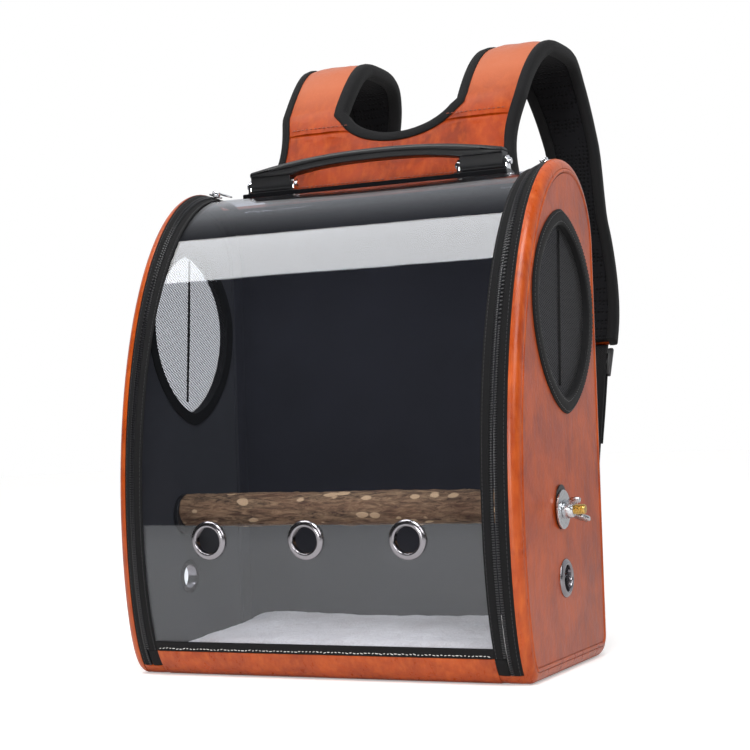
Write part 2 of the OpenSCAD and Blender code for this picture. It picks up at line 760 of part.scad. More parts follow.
module strap(side) {
    n = len(STRAP) - 1;
    t = pad_t / 2;
    color("chocolate") sided(side) loft([for (k = [0:n])
        let (s = STRAP[k], c = strap_mid(k / n), w = strap_half(k / n))
        let (section = [[-w, -t + 2], [-w, t - 2], [-w + 3, t], [w - 3, t], [w, t - 2], [w, 2 - t],
            [w - 3, -t], [3 - w, -t]])
        [for (p = section) [c + p.x, s.x + p.y * s[2], s.y + p.y * s[3]]]]);
}

// Webbing from the strap's foot down to the tab at the heel
strap_end = STRAP[len(STRAP) - 1];
end_x = strap_mid(1);
web_t = 1.6;
web_out = 14;
web_x = end_x + web_out;
tongue_o = pad_t / 2 + 2 * touch + web_t / 2;
lock_t = 4;
lock_l = 28;
web_o = tongue_o - lock_t / 2 - touch - web_t / 2;
tail_o = tongue_o + lock_t / 2 + touch + web_t / 2;
tail_len = 92;
tab_out = 8;
tab_l = 30;
down = [-sin(fall), -cos(fall)];
out = [cos(fall), -sin(fall)];

// A point at distance s down the webbing from the strap's foot, lifted o towards the outside
function web_pt(x, s, o) = [x, strap_end.x + s * down.x + o * out.x, strap_end.y + s * down.y + o * out.y];

web_len = (strap_end.x - back_y - tab_out) / sin(fall);

// A flat length of webbing from s0 to s1, lifted o
module web_run(s0, s1, o) {
    w = web_w / 2;
    loft([for (s = [s0, s1])
        let (x = end_x + web_out * max(0, s) / web_len)
        [for (p = [[-w, -web_t / 2], [-w, web_t / 2], [w, web_t / 2], [w, -web_t / 2]])
            web_pt(x + p.x, s, o + p.y)]]);
}

// The webbing and its free tail, one on each side of the adjuster
module webbing(side) {
    color([0.07, 0.07, 0.07]) sided(side) {
        web_run(2, web_len, web_o);
        web_run(7, 7 + tail_len, tail_o);
    }
}

module strap_tabs() {
    tip = web_pt(web_x, web_len, web_o);
    wedge = [[back_y + touch, tip.z - tab_l], [back_y + touch, tip.z + 4],
        [tip.y - 2 * touch, tip.z - 2 * touch], [back_y + 3, tip.z - tab_l]];
    w = web_w / 2 + 3;
    color("chocolate") for (side = [-1, 1]) sided(side) slab(web_x - w, web_x + w) polygon(wedge);
}

// The adjuster is a slotted buckle on a short tongue of webbing that is let out of the strap's foot
lock_w = web_w + 11;
lock_s = 4;
slot_l = 5;
tongue_l = 50;

module adjuster(side) {
    w = web_w / 2;
    color([0.1, 0.1, 0.1]) sided(side)
        translate([end_x, strap_end.x, strap_end.y]) rotate([-fall, 0, 0]) {
            translate([-w, tongue_o - web_t / 2, -lock_s - 1])
                cube([web_w, web_t, tongue_l + lock_s + 1]);
            translate([0, tongue_o, -lock_s]) difference() {
                translate([-lock_w / 2, -lock_t / 2, -lock_l]) cube([lock_w, lock_t, lock_l]);
                for (z = [-11, -21])
                    translate([-w - 1, -lock_t, z]) cube([web_w + 2, 2 * lock_t, slot_l]);
            }
        }
}

side_panel(-1);  // side_panel_left
side_panel(1);  // side_panel_right
lining(-1);  // lining_left
lining(1);  // lining_right
gusset(-1);  // gusset_left
gusset(1);  // gusset_right
welt(-1);  // welt_left
welt(1);  // welt_right
vent_net(-1);  // vent_net_left
vent_net(1);  // vent_net_right
vent_binding(-1);  // vent_binding_left
vent_binding(1);  // vent_binding_right
side_eyelet(-1);  // side_eyelet_left
side_eyelet(1);  // side_eyelet_right
base_panel();
front_sill();
sill_corners();
back_panel();
back_lining();
back_pad(-1);  // back_pad_left
back_pad(1);  // back_pad_right
top_sheet();
zip_tape(-1);  // zip_tape_left
zip_tape(1);  // zip_tape_right
zip_teeth(-1);  // zip_teeth_left
zip_teeth(1);  // zip_teeth_right
window_sheet();
window_tape(-1);  // window_tape_left
window_tape(1);  // window_tape_right
window_teeth(-1);  // window_teeth_left
window_teeth(1);  // window_teeth_right
window_hem();
window_eyelets();
slider(-1);  // slider_left
slider(1);  // slider_right
pull(-1);  // pull_left
pull(1);  // pull_right
handle_plate();
handle_bracket(-1);  // handle_bracket_left
handle_bracket(1);  // handle_bracket_right
handle_pins();
handle_grip();
perch();
perch_stud(-1);  // perch_stud_left
perch_stud(1);  // perch_stud_right
perch_collars();
stud_plates();
washers();
wing_nut(-1);  // wing_nut_left
wing_nut(1);  // wing_nut_right
floor_mat();
yoke();
strap(-1);  // strap_left
strap(1);  // strap_right
webbing(-1);  // webbing_left
webbing(1);  // webbing_right
strap_tabs();
adjuster(-1);  // adjuster_left
adjuster(1);  // adjuster_right
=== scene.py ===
"""Bird travel carrier: finishes, trims and soft goods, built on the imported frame.
Metres in the scene; the tables and functions below that give places work in millimetres.
+X is picture right, -Y the clear front and +Z up."""

import random
from math import acos, asin, atan2, cos, degrees, pi, radians, sin, sqrt

import bpy
import bmesh
from mathutils import Matrix, Vector, noise


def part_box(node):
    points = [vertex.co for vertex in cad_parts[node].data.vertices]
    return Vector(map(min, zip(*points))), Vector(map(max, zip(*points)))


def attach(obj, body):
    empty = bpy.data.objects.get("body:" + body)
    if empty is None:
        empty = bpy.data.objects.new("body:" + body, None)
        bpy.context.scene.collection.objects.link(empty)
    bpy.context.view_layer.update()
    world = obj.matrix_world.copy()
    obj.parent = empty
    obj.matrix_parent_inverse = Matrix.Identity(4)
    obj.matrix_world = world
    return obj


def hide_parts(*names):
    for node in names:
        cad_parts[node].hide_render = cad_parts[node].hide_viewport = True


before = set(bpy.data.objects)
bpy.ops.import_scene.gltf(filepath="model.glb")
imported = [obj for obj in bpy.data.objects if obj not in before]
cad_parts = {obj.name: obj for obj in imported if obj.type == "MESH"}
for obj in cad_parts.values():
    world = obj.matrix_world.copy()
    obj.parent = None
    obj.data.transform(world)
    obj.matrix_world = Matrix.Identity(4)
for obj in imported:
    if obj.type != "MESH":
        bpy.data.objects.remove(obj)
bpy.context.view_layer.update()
MM = 0.001
SIDES = (("left", -1), ("right", 1))


# ---------------------------------------------------------------- nodes

def hex_colour(code):
    """An sRGB hex colour as linear red, green, blue and alpha."""
    def linear(c):
        return c / 12.92 if c <= 0.04045 else ((c + 0.055) / 1.055) ** 2.4
    return tuple(linear(int(code[k:k + 2], 16) / 255) for k in (0, 2, 4)) + (1.0,)


def add(tree, kind, values=None, out=0, **settings):
    """Adds a node with its settings, values and links, and gives one of its outputs."""
    made = tree.nodes.new("ShaderNode" + kind)
    for key, value in settings.items():
        setattr(made, key, value)
    for key, value in (values or {}).items():
        if isinstance(value, bpy.types.NodeSocket):
            tree.links.new(value, made.inputs[key])
        else:
            made.inputs[key].default_value = value
    return made.outputs[out] if made.outputs else None


def maths(tree, operation, *values):
    return add(tree, "Math", dict(enumerate(values)), operation=operation)


def ramp(tree, value, low, high, first=0.0, last=1.0):
    return add(tree, "MapRange", {"Value": value, "From Min": low, "From Max": high,
                                  "To Min": first, "To Max": last})


def speckle(tree, coords, scale, detail=2.0, **more):
    return add(tree, "TexNoise", {"Vector": coords, "Scale": scale, "Detail": detail, **more})


def colours(tree, share, *pair):
    """Mixes two colours, each a hex code or another node's output."""
    first, last = (hex_colour(c) if isinstance(c, str) else c for c in pair)
    return add(tree, "Mix", {0: share, 6: first, 7: last}, 2, data_type="RGBA")


def object_coords(tree, scale=(1, 1, 1), turn=(0, 0, 0)):
    coords = add(tree, "TexCoord", out="Object")
    return add(tree, "Mapping", {"Vector": coords, "Scale": scale, "Rotation": turn})


def bumped(tree, height, depth, strength=1.0, under=None):
    values = {"Height": height, "Distance": depth, "Strength": strength}
    if under is not None:
        values["Normal"] = under
    return add(tree, "Bump", values)


def new_finish(name):
    finish = bpy.data.materials.new(name)
    finish.use_nodes = True
    finish.node_tree.nodes.clear()
    return finish, finish.node_tree


def surfaced(finish, values, kind="BsdfPrincipled"):
    """Ends a finish with its shader."""
    tree = finish.node_tree
    add(tree, "OutputMaterial", {"Surface": add(tree, kind, values)})
    return finish


# ---------------------------------------------------------------- camera, light and floor

def place_camera():
    """The photograph's viewpoint: 25 degrees round to the right, a little below the middle."""
    turn, tip, roll = radians(24.59), radians(-2.0), radians(-1.88)
    ahead = Vector((-sin(turn) * cos(tip), cos(turn) * cos(tip), -sin(tip)))
    level = Vector((cos(turn), sin(turn), 0))
    upright = level.cross(ahead)
    right = cos(roll) * level + sin(roll) * upright
    up = -sin(roll) * level + cos(roll) * upright
    data = bpy.data.cameras.new("photo_camera")
    data.lens, data.sensor_width, data.sensor_fit = 82.3, 36, "HORIZONTAL"
    camera = bpy.data.objects.new("photo_camera", data)
    camera.matrix_world = Matrix.Translation((0.5906, -1.2579, 0.1855)) @ Matrix(
        (right, up, -ahead)).transposed().to_4x4()
    bpy.context.scene.collection.objects.link(camera)
    bpy.context.scene.camera = camera


def softbox(name, place, target, width, height, watts):
    data = bpy.data.lights.new(name, "AREA")
    data.shape, data.size, data.size_y, data.energy = "RECTANGLE", width, height, watts
    lamp = bpy.data.objects.new(name, data)
    lamp.location = place
    lamp.rotation_euler = (Vector(target) - Vector(place)).to_track_quat("-Z", "Y").to_euler()
    bpy.context.scene.collection.objects.link(lamp)


def light_the_stage():
    """A pale room, a sheet of pale paper to stand on, and four soft lamps."""
    world = bpy.data.worlds.new("pale_room")
    world.use_nodes = True
    bpy.context.scene.world = world
    tree = world.node_tree
    tree.nodes.clear()
    seen = add(tree, "LightPath", out="Is Camera Ray")
    mirrored_ray = add(tree, "LightPath", out="Is Glossy Ray")
    room = add(tree, "Background", {"Color": hex_colour("FAF8F6"), "Strength": 0.42})
    # Reflections see the white paper behind the carrier and a dark room in front of it
    toward = add(tree, "SeparateXYZ", {0: add(tree, "TexCoord")}, "Y")
    studio = add(tree, "Background", {"Color": hex_colour("F4F6FA"),
                                      "Strength": ramp(tree, toward, -0.05, 0.35, 0.035, 0.8)})
    backdrop = add(tree, "Background", {"Color": hex_colour("FFFFFF"), "Strength": 1.0})
    lit = add(tree, "MixShader", {0: mirrored_ray, 1: room, 2: studio})
    add(tree, "OutputWorld", {"Surface": add(tree, "MixShader", {0: seen, 1: lit, 2: backdrop})})

    finish, tree = new_finish("pale_floor")
    path = add(tree, "LightPath", out="Is Camera Ray")
    coords = add(tree, "TexCoord", out="Object")
    tint = colours(tree, speckle(tree, coords, 3), "F2F2F2", "F8F8F8")
    floor = add(tree, "BsdfPrincipled", {"Base Color": tint, "Roughness": 0.75})
    away = add(tree, "VectorMath", {0: coords}, 1, operation="LENGTH")
    lift = maths(tree, "MULTIPLY", path, ramp(tree, away, 0.3, 2.2, 0.33, 0.62))
    glow = add(tree, "Emission", {"Color": hex_colour("FFFFFF"), "Strength": lift})
    surfaced(finish, {0: floor, 1: glow}, "AddShader")
    # The paper ends 1.3 m in front, where the window's reflection turns dark
    bpy.ops.mesh.primitive_plane_add(size=12, location=(0, 4.7, -0.0005))
    ground = settle(bpy.context.object)
    ground.name = "floor"
    ground.data.materials.append(finish)

    softbox("key_softbox", (1.5, -1.3, 1.2), (0, 0, 0.2), 0.9, 0.9, 14)
    softbox("fill_softbox", (0.25, -2.4, 0.45), (0, 0, 0.12), 0.7, 0.5, 17)
    softbox("top_softbox", (0.5, -0.8, 1.5), (0, 0, 0.1), 0.6, 0.6, 15)
    # Hangs over the front: its reflection is the broad grey band high on the window
    softbox("overhead_softbox", (-0.62, -0.35, 1.5), (-0.62, -0.35, 0), 1.0, 0.6, 12.5)


# ---------------------------------------------------------------- finishes

def waxed_leather(name, dark, mid, light, shine, gleam=0.36, strap=None):
    """Waxed leather cloth: mottled burnt orange with soft creases, fine pores and a satin gloss."""
    finish, tree = new_finish(name)
    coords = object_coords(tree)
    cloud = speckle(tree, coords, 24, 7, Roughness=0.62, Distortion=0.7)
    # Rubbed streaks of about 5 mm by 30 mm
    rubbed = speckle(tree, object_coords(tree, (1, 1, 0.2)), 190, 4, Roughness=0.6)
    tone = colours(tree, ramp(tree, cloud, 0.34, 0.62), dark, mid)
    tone = colours(tree, ramp(tree, rubbed, 0.45, 0.8, 0, 0.55), tone, light)
    if strap:
        # Above the lapped seam the straps are lighter: a paler hide, and a painted highlight on the
        # strap tops
        height = add(tree, "SeparateXYZ", {0: coords}, "Z")
        tone = colours(tree, ramp(tree, height, 0.456, 0.5), tone, strap)
    # Pores about 0.9 mm apart and creases about 7 mm apart
    pores = add(tree, "TexVoronoi", {"Vector": coords, "Scale": 1100.0},
                feature="DISTANCE_TO_EDGE")
    creases = speckle(tree, coords, 140, 5, Distortion=1.2)
    grain = bumped(tree, pores, 0.00012, 0.35)
    return surfaced(finish, {
        "Base Color": tone, "Normal": bumped(tree, creases, 0.0007, 0.38, grain), "IOR": 1.45,
        "Roughness": ramp(tree, rubbed, 0.3, 0.7, shine - 0.05, shine + 0.08),
        "Specular IOR Level": gleam, "Coat Weight": gleam / 4, "Coat Roughness": 0.16})


def woven(name, colour, painted_thread_highlight, pitch, sheen, rib=(1, 1)):
    """Woven polyester: matt black, its crossing threads lighter with a painted highlight."""
    finish, tree = new_finish(name)
    uv = add(tree, "TexCoord", out="UV")
    waves = []
    for axis, share in zip("XY", rib):
        turns = maths(tree, "MULTIPLY", add(tree, "SeparateXYZ", {0: uv}, axis),
                      2 * pi * share / (pitch * MM))
        waves.append(maths(tree, "SINE", turns))
    weave = ramp(tree, maths(tree, "MULTIPLY", *waves), -1, 1)
    rise = maths(tree, "ADD", weave, speckle(tree, object_coords(tree), 420, 3))
    # The lighter colour on the crossing threads is a painted highlight
    return surfaced(finish, {
        "Base Color": colours(tree, weave, colour, painted_thread_highlight), "Roughness": 0.78,
        "Normal": bumped(tree, rise, 0.00035, 0.6), "Sheen Weight": sheen,
        "Sheen Roughness": 0.5, "Specular IOR Level": 0.22})


def lining_cloth():
    """Black taffeta lining: close weave with a faint bluish sheen."""
    finish, tree = new_finish("lining_taffeta")
    fine = speckle(tree, object_coords(tree, (1, 1, 0.35)), 900)
    broad = speckle(tree, object_coords(tree), 22, 3)
    return surfaced(finish, {
        "Base Color": colours(tree, broad, "15151B", "22222A"), "Roughness": 0.7,
        "Normal": bumped(tree, fine, 0.00008, 0.3), "Sheen Weight": 0.2,
        "Specular IOR Level": 0.3})


def moulded(name, colour, rough, grain_mm, depth):
    """Moulded plastic: even black with the fine spark-eroded grain of its tool."""
    finish, tree = new_finish(name)
    coords = object_coords(tree)
    wear = speckle(tree, coords, 60, 4)
    return surfaced(finish, {
        "Base Color": hex_colour(colour), "IOR": 1.5,
        "Roughness": ramp(tree, wear, 0, 1, rough - 0.05, rough + 0.08),
        "Normal": bumped(tree, speckle(tree, coords, 1000 / grain_mm, 3), depth, 0.5)})


def metal(name, colour, rough, brush=(1, 1, 1), scratch=0.00004):
    """Plated metal: mirror-like where it is smooth, with hairlines from polishing."""
    finish, tree = new_finish(name)
    lines = speckle(tree, object_coords(tree, brush), 700, 4)
    return surfaced(finish, {
        "Base Color": hex_colour(colour), "Metallic": 1.0,
        "Roughness": ramp(tree, lines, 0, 1, rough * 0.8, rough * 1.5),
        "Normal": bumped(tree, lines, scratch, 0.6)})


def clear_sheet():
    """Clear PVC sheet: almost invisible face on, a mirror at a slant, with slow ripples."""
    finish, tree = new_finish("clear_pvc")
    ripple = speckle(tree, object_coords(tree, (1, 0.6, 0.6)), 9)
    normal = bumped(tree, ripple, 0.0012, 0.35)
    slant = add(tree, "LayerWeight", {"Blend": 0.5, "Normal": normal}, 1)
    mirror = ramp(tree, maths(tree, "POWER", slant, 5.0), 0, 1, 0.046, 1)
    tint = add(tree, "BsdfTransparent", {"Color": hex_colour("F0F2F6")})
    shine = add(tree, "BsdfGlossy", {"Color": hex_colour("FFFFFF"), "Roughness": 0.03,
                                     "Normal": normal})
    return surfaced(finish, {0: mirror, 1: tint, 2: shine}, "MixShader")


def net_cloth():
    """Polyester net: black threads with open squares between them, drawn 2 mm apart to show."""
    finish, tree = new_finish("polyester_net")
    coords = object_coords(tree, (1, 1, 1), (radians(28), 0, 0))
    threads = []
    for axis in "YZ":
        steps = maths(tree, "MULTIPLY", add(tree, "SeparateXYZ", {0: coords}, axis), 1 / 0.0022)
        threads.append(maths(tree, "LESS_THAN", maths(tree, "PINGPONG", steps, 0.5), 0.15))
    cloth = add(tree, "BsdfPrincipled", {"Base Color": hex_colour("0E0E11"), "Roughness": 0.6,
                                         "Sheen Weight": 0.05})
    gap = add(tree, "BsdfTransparent", {"Color": hex_colour("FFFFFF")})
    return surfaced(finish, {0: maths(tree, "MAXIMUM", *threads), 1: gap, 2: cloth}, "MixShader")


def spacer_mesh():
    """Air mesh: black knitted spacer cloth with rows of small holes, 4 mm apart, darkened with
    painted shade.
    """
    finish, tree = new_finish("spacer_mesh")
    cells = add(tree, "TexVoronoi", {"Vector": object_coords(tree), "Scale": 270.0,
                                     "Randomness": 0.25})
    hole_with_shade = ramp(tree, cells, 0.2, 0.42)
    # The holes' darker colour is painted shade; their dent is a bump
    return surfaced(finish, {
        "Base Color": colours(tree, hole_with_shade, "020203", "0D0D10"), "Roughness": 0.85,
        "Normal": bumped(tree, hole_with_shade, 0.0012, 0.8), "Sheen Weight": 0.02,
        "Specular IOR Level": 0.15})


def fleece_pile():
    """Cut fleece: warm white curls with soft shade between them."""
    finish, tree = new_finish("fleece_pile")
    coords = object_coords(tree)
    curls = speckle(tree, coords, 260, 5, Distortion=1.5)
    both = maths(tree, "MULTIPLY", curls, speckle(tree, coords, 28, 4))
    return surfaced(finish, {
        "Base Color": colours(tree, ramp(tree, both, 0.12, 0.34), "E6DCD6", "FFF8F2"),
        "Roughness": 0.95, "Normal": bumped(tree, curls, 0.002, 0.7), "Sheen Weight": 0.4,
        "Specular IOR Level": 0.1})


def bark():
    """Young branch with its bark on: grey-brown plates, furrows along it, tan scars."""
    finish, tree = new_finish("branch_bark")
    along = object_coords(tree, (0.22, 1, 1))
    furrow = speckle(tree, along, 330, 8, Roughness=0.7, Distortion=0.8)
    broad = speckle(tree, along, 60, 4)
    tone = colours(tree, ramp(tree, furrow, 0.38, 0.64), "38261A", "B4906C")
    tone = colours(tree, ramp(tree, broad, 0.4, 0.7, 0, 0.6), tone, "8A5F44")
    # Ragged scars up to 8 mm long where twigs broke off
    cells = add(tree, "TexVoronoi", {"Vector": object_coords(tree, (0.6, 1, 1)), "Scale": 92.0,
                                     "Randomness": 1.0})
    ragged = maths(tree, "ADD", cells, maths(tree, "MULTIPLY", broad, 1.2))
    scar = ramp(tree, ragged, 0.8, 0.86, 1, 0)
    return surfaced(finish, {
        "Base Color": colours(tree, scar, tone, "DEB88E"), "Roughness": 0.86,
        "Normal": bumped(tree, furrow, 0.0025, 0.9, bumped(tree, scar, 0.0012, 0.5))})


def thread(name, colour):
    """Twisted sewing thread with a soft shine."""
    finish, tree = new_finish(name)
    twist = speckle(tree, object_coords(tree), 1500)
    return surfaced(finish, {"Base Color": hex_colour(colour), "Roughness": 0.6,
                             "Sheen Weight": 0.3, "Normal": bumped(tree, twist, 0.0003, 0.6)})


LEATHER = waxed_leather("waxed_leather_cloth", "832D09", "A6420E", "C05E24", 0.35)
ROLL = waxed_leather("rolled_leather_edge", "8A330B", "A8450F", "C46326", 0.30)
# Its last colour lightens the strap panels: a paler hide with a painted highlight
PAD_LEATHER = waxed_leather("padded_leather", "712405", "943405", "B8561B", 0.36, 0.1, "AC6246")
LINING = lining_cloth()
BINDING = woven("ribbed_binding_tape", "050506", "0F0F11", 1.6, 0.03, (0, 1))
BINDING_PLAIN = woven("woven_binding_tape", "060607", "111113", 1.2, 0.03)
TAPE = woven("woven_zip_tape", "040405", "0D0D0F", 1.1, 0.02)
WEBBING = woven("woven_webbing", "080809", "151517", 2.2, 0.04)
COIL = moulded("nylon_zip_coil", "1B1B1E", 0.32, 0.8, 0.00003)
GLOSS_ABS = moulded("polished_abs", "0E0E10", 0.16, 1.2, 0.00002)
MATT_ABS = moulded("grained_abs", "141416", 0.42, 0.5, 0.00006)
ACETAL = moulded("moulded_acetal", "121214", 0.38, 0.6, 0.00005)
NICKEL = metal("black_nickel_plate", "8C898D", 0.20)
CHROME = metal("bright_chrome_plate", "E2E3E6", 0.07)
ZINC = metal("zinc_plate", "C9CBCE", 0.24, (1, 0.3, 0.3), 0.00008)
BRASS = metal("yellow_zinc_thread", "C7A45C", 0.25)
PVC = clear_sheet()
NET = net_cloth()
AIR_MESH = spacer_mesh()
FLEECE = fleece_pile()
BARK = bark()
WHITE_THREAD = thread("white_thread", "D8D6D2")
ORANGE_THREAD = thread("rust_thread", "7A3418")
BLACK_THREAD = thread("black_thread", "17171A")


# ---------------------------------------------------------------- shape of the body, in mm

TOP_Y, CROWN_Z, CROWN_R = 42, 335, 63  # the arc over the back: its middle and half width
TOE_Y, BELLY_Z = -68, 130  # the arc down to the floor, and the height of the front's belly


def edge_pt(a, i=0.0):
    """A point (y, z) of the side's outline at angle a, moved in by i."""
    c, s = cos(radians(a)), sin(radians(a))
    if a > 180:
        return TOE_Y + (31 - i) * c, BELLY_Z + (BELLY_Z - i) * s
    if a >= 90:
        return TOP_Y + (141 - i) * c, BELLY_Z + (270 - i) * s
    if a >= 0:
        return TOP_Y + (CROWN_R - i) * c, CROWN_Z + (65 - i) * s
    return 87 + (18 - i) * c, 18 + (18 - i) * s


def window_pt(a, i=0.0):
    """A point (y, z) of the window's outline at angle a, moved in by i."""
    c, s = cos(radians(a)), sin(radians(a))
    if a > 180:
        return TOE_Y + (37 - i) * c, BELLY_Z + (BELLY_Z - i) * s
    if a >= 90:
        return TOP_Y + (147 - i) * c, BELLY_Z + (264 - i) * s
    return TOP_Y + (CROWN_R - i) * c, CROWN_Z + (59 - i) * s


def band_pt(x, a, i=0.0):
    """A point (x, y, z) on the zip band, which slopes from the edge to the window."""
    f = min(1.0, (162 - x) / 14)
    (ey, ez), (wy, wz) = edge_pt(a, i), window_pt(a, i)
    return x, ey + (wy - ey) * f, ez + (wz - ez) * f


def foot_angle(z):
    """The angle at which the front is z above the floor."""
    return 180 + degrees(asin((BELLY_Z - z) / BELLY_Z))


def angles(high, low, step=2.5):
    """Angles from high down to low; 0 and just below it give the straight back its ends."""
    inner = [high - step * k for k in range(1, 200) if high - step * k > low + 0.3]
    if high > 0 > low:
        inner = [a for a in inner if abs(a) > 0.6] + [0.0, -0.001]
    if high > 180 > low:
        inner = [a for a in inner if abs(a - 180) > 0.6] + [180.0]
    return sorted({high, low, *inner}, reverse=True)


FOOT_A = foot_angle(19.85)  # the window's foot
SILL_A = foot_angle(19.5)  # the sill's upper edge
CROWN_A = 93.0  # the window's other end
YOKE_A = degrees(acos(30 / CROWN_R))  # where the crown strip meets the back
WALL_X = 161.8  # half width between the rolled edges
OPEN_X = 142.8  # half width between the zip bands
ZIP_X = 152.5  # middle of a zip
OUTER_TAPE, INNER_TAPE = (152.95, WALL_X), (143, 152.05)


# ---------------------------------------------------------------- making pieces

def pick(*pieces):
    """Selects the pieces alone, the first one active."""
    bpy.ops.object.select_all(action="DESELECT")
    for piece in pieces:
        piece.select_set(True)
    bpy.context.view_layer.objects.active = pieces[0]


def outward(piece):
    """Turns the normals of a closed piece outward."""
    shell = bmesh.new()
    shell.from_mesh(piece.data)
    bmesh.ops.recalc_face_normals(shell, faces=shell.faces)
    shell.to_mesh(piece.data)
    shell.free()
    return piece


def make_mesh(name, points, faces, uv=None):
    """A mesh object at the origin from points in millimetres."""
    data = bpy.data.meshes.new(name)
    data.from_pydata([Vector(p) * MM for p in points], [], faces)
    if uv:
        layer = data.uv_layers.new(name="along")
        for loop in data.loops:
            layer.data[loop.index].uv = [c * MM for c in uv[loop.vertex_index]]
    made = bpy.data.objects.new(name, data)
    bpy.context.scene.collection.objects.link(made)
    return made


def skin(name, rings, looped=False):
    """Skin through rings of points; the UV map runs in mm round the rings and along them."""
    n, m = len(rings[0]), len(rings)
    faces = []
    for k in range(m if looped else m - 1):
        for j in range(n):
            here, ahead, step = k * n, (k + 1) % m * n, (j + 1) % n
            faces.append((here + j, here + step, ahead + step, ahead + j))
    if not looped:
        faces += [tuple(range(n)), tuple(range((m - 1) * n, m * n))]
    run, uv = 0.0, []
    for k, ring in enumerate(rings):
        if k:
            run += (Vector(ring[0]) - Vector(rings[k - 1][0])).length
        around = 0.0
        for j, p in enumerate(ring):
            if j:
                around += (Vector(p) - Vector(ring[j - 1])).length
            uv.append((around, run))
    return outward(make_mesh(name, [p for ring in rings for p in ring], faces, uv))


def modifier(piece, kind, **settings):
    """Adds a modifier and applies it."""
    pick(piece)
    made = piece.modifiers.new(kind.lower(), kind)
    for key, value in settings.items():
        setattr(made, key, value)
    bpy.ops.object.modifier_apply(modifier=made.name)


def rounded(piece, width, segments=2, angle=40):
    """Rounds a piece's sharp corners over, width in mm."""
    modifier(piece, "BEVEL", width=width * MM, segments=segments, limit_method="ANGLE",
             angle_limit=radians(angle))
    return piece


def fit(piece, finish, slot, stands_for="", body="shell", smooth=35):
    """Gives a piece its finish and its body, and hides the CAD node that it stands for."""
    piece.data.materials.clear()
    piece.data.materials.append(finish)
    pick(piece)
    bpy.ops.object.shade_smooth_by_angle(angle=radians(smooth))
    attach(piece, body)
    if stands_for:
        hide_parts(stands_for)
    return piece


def coat(node, finish):
    """Gives a CAD node that stays in sight its finish."""
    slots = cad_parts[node].data.materials
    slots.clear()
    slots.append(finish)


def mirrored(points):
    return [(-x, y, z) for x, y, z in points]


def on_side(side, rings):
    return [mirrored(ring) for ring in rings] if side < 0 else rings


def join(name, pieces):
    """Joins pieces into the first one."""
    pick(*pieces)
    if len(pieces) > 1:
        bpy.ops.object.join()
    pieces[0].name = pieces[0].data.name = name
    return pieces[0]


def settle(piece):
    """Puts the piece's place, turn and size into its mesh."""
    pick(piece)
    bpy.ops.object.transform_apply(location=True, rotation=True, scale=True)
    return piece


def moved(piece, place, side=1):
    """Moves a piece, mirrors it on the left side and settles it."""
    piece.matrix_world = Matrix.Scale(side, 4, (1, 0, 0)) @ place
    settle(piece)
    return outward(piece) if side < 0 else piece


def block(name, x, y, z, round_mm=0.5):
    """A block between two corners in mm, its edges rounded."""
    bpy.ops.mesh.primitive_cube_add(size=1)
    made = bpy.context.object
    made.name = name
    made.scale = [(high - low) * MM for low, high in (x, y, z)]
    made.location = [(low + high) / 2 * MM for low, high in (x, y, z)]
    settle(made)
    if round_mm:
        modifier(made, "BEVEL", width=round_mm * MM, segments=3)
    return made


def turned(name, profile, side, x, place, segments=48):
    """A turned piece about +X from (radius, height) pairs."""
    rings = [[(x + h, place[0] + r * cos(t), place[1] + r * sin(t)) for r, h in profile]
             for t in (2 * pi * k / segments for k in range(segments))]
    return skin(name, on_side(side, rings), looped=True)


def bent_sheet(name, turns, xs, outer, inner):
    """A sheet bent round the body: outer(a, x) and inner(a) give the (y, z) of its faces."""
    return skin(name, [[(x, *outer(a, x)) for x in xs] + [(x, *inner(a)) for x in reversed(xs)]
                       for a in turns])


def round_side(name, side, section):
    """A section of (x, inset) pairs carried round a side's outline."""
    rings = [[(x, *edge_pt(a, i)) for x, i in section] for a in angles(270, -89.9, 3.0)]
    return skin(name, on_side(side, rings), looped=True)


def paced(line, pitch, start=0.5):
    """Paces along a line of points: the number of the stretch, and the share of it passed."""
    run = [0.0]
    for p, q in zip(line, line[1:]):
        run.append(run[-1] + (Vector(q) - Vector(p)).length)
    k = 0
    for count in range(int(run[-1] / pitch)):
        s = (count + start) * pitch
        while k < len(run) - 2 and run[k + 1] < s:
            k += 1
        yield k, (s - run[k]) / max(1e-6, run[k + 1] - run[k])


def tubes(name, points, sides):
    """A mesh of small closed tubes, each of them four rings of points."""
    faces = []
    for first in range(0, len(points), 4 * sides):
        end = first + 3 * sides
        for ring in range(first, end, sides):
            faces += [(ring + q, ring + (q + 1) % sides, ring + (q + 1) % sides + sides,
                       ring + q + sides) for q in range(sides)]
        faces += [tuple(range(first + sides - 1, first - 1, -1)), tuple(range(end, end + sides))]
    return outward(make_mesh(name, points, faces))


def stitches(name, line, outs, finish, slot, pitch, length, thick, body="shell", stray=0.0,
             seed=1):
    """A row of short threads along a line of points, standing on the side that outs give."""
    chance = random.Random(seed)
    points = []
    for k, f in paced(line, pitch):
        here = Vector(line[k]).lerp(Vector(line[k + 1]), f)
        ahead = (Vector(line[k + 1]) - Vector(line[k])).normalized()
        out = Vector(outs[k]).normalized()
        across = ahead.cross(out).normalized()
        ahead = (ahead + across * chance.uniform(-stray, stray)).normalized()
        half = length / 2 * (1 + chance.uniform(-stray, stray))
        here = here + across * chance.uniform(-stray, stray)
        for t, fat, lift in ((-1, 0.35, -0.25), (-0.55, 1, 0.2), (0.55, 1, 0.2), (1, 0.35, -0.25)):
            for q in range(5):
                turn = 2 * pi * q / 5
                points.append(tuple(here + ahead * half * t + out * (lift + sin(turn) * fat / 2)
                                    * thick + across * cos(turn) * fat * thick / 2))
    return fit(tubes(name, points, 5), finish, slot, "", body, 60)


# ---------------------------------------------------------------- clear front, crown and zips

EYELET_XS, EYELET_Z = (-84, 0, 84), 108
EYELET_TIP = radians(92.8)  # square to the sheet at that height
TOOTH_PITCH = 1.9


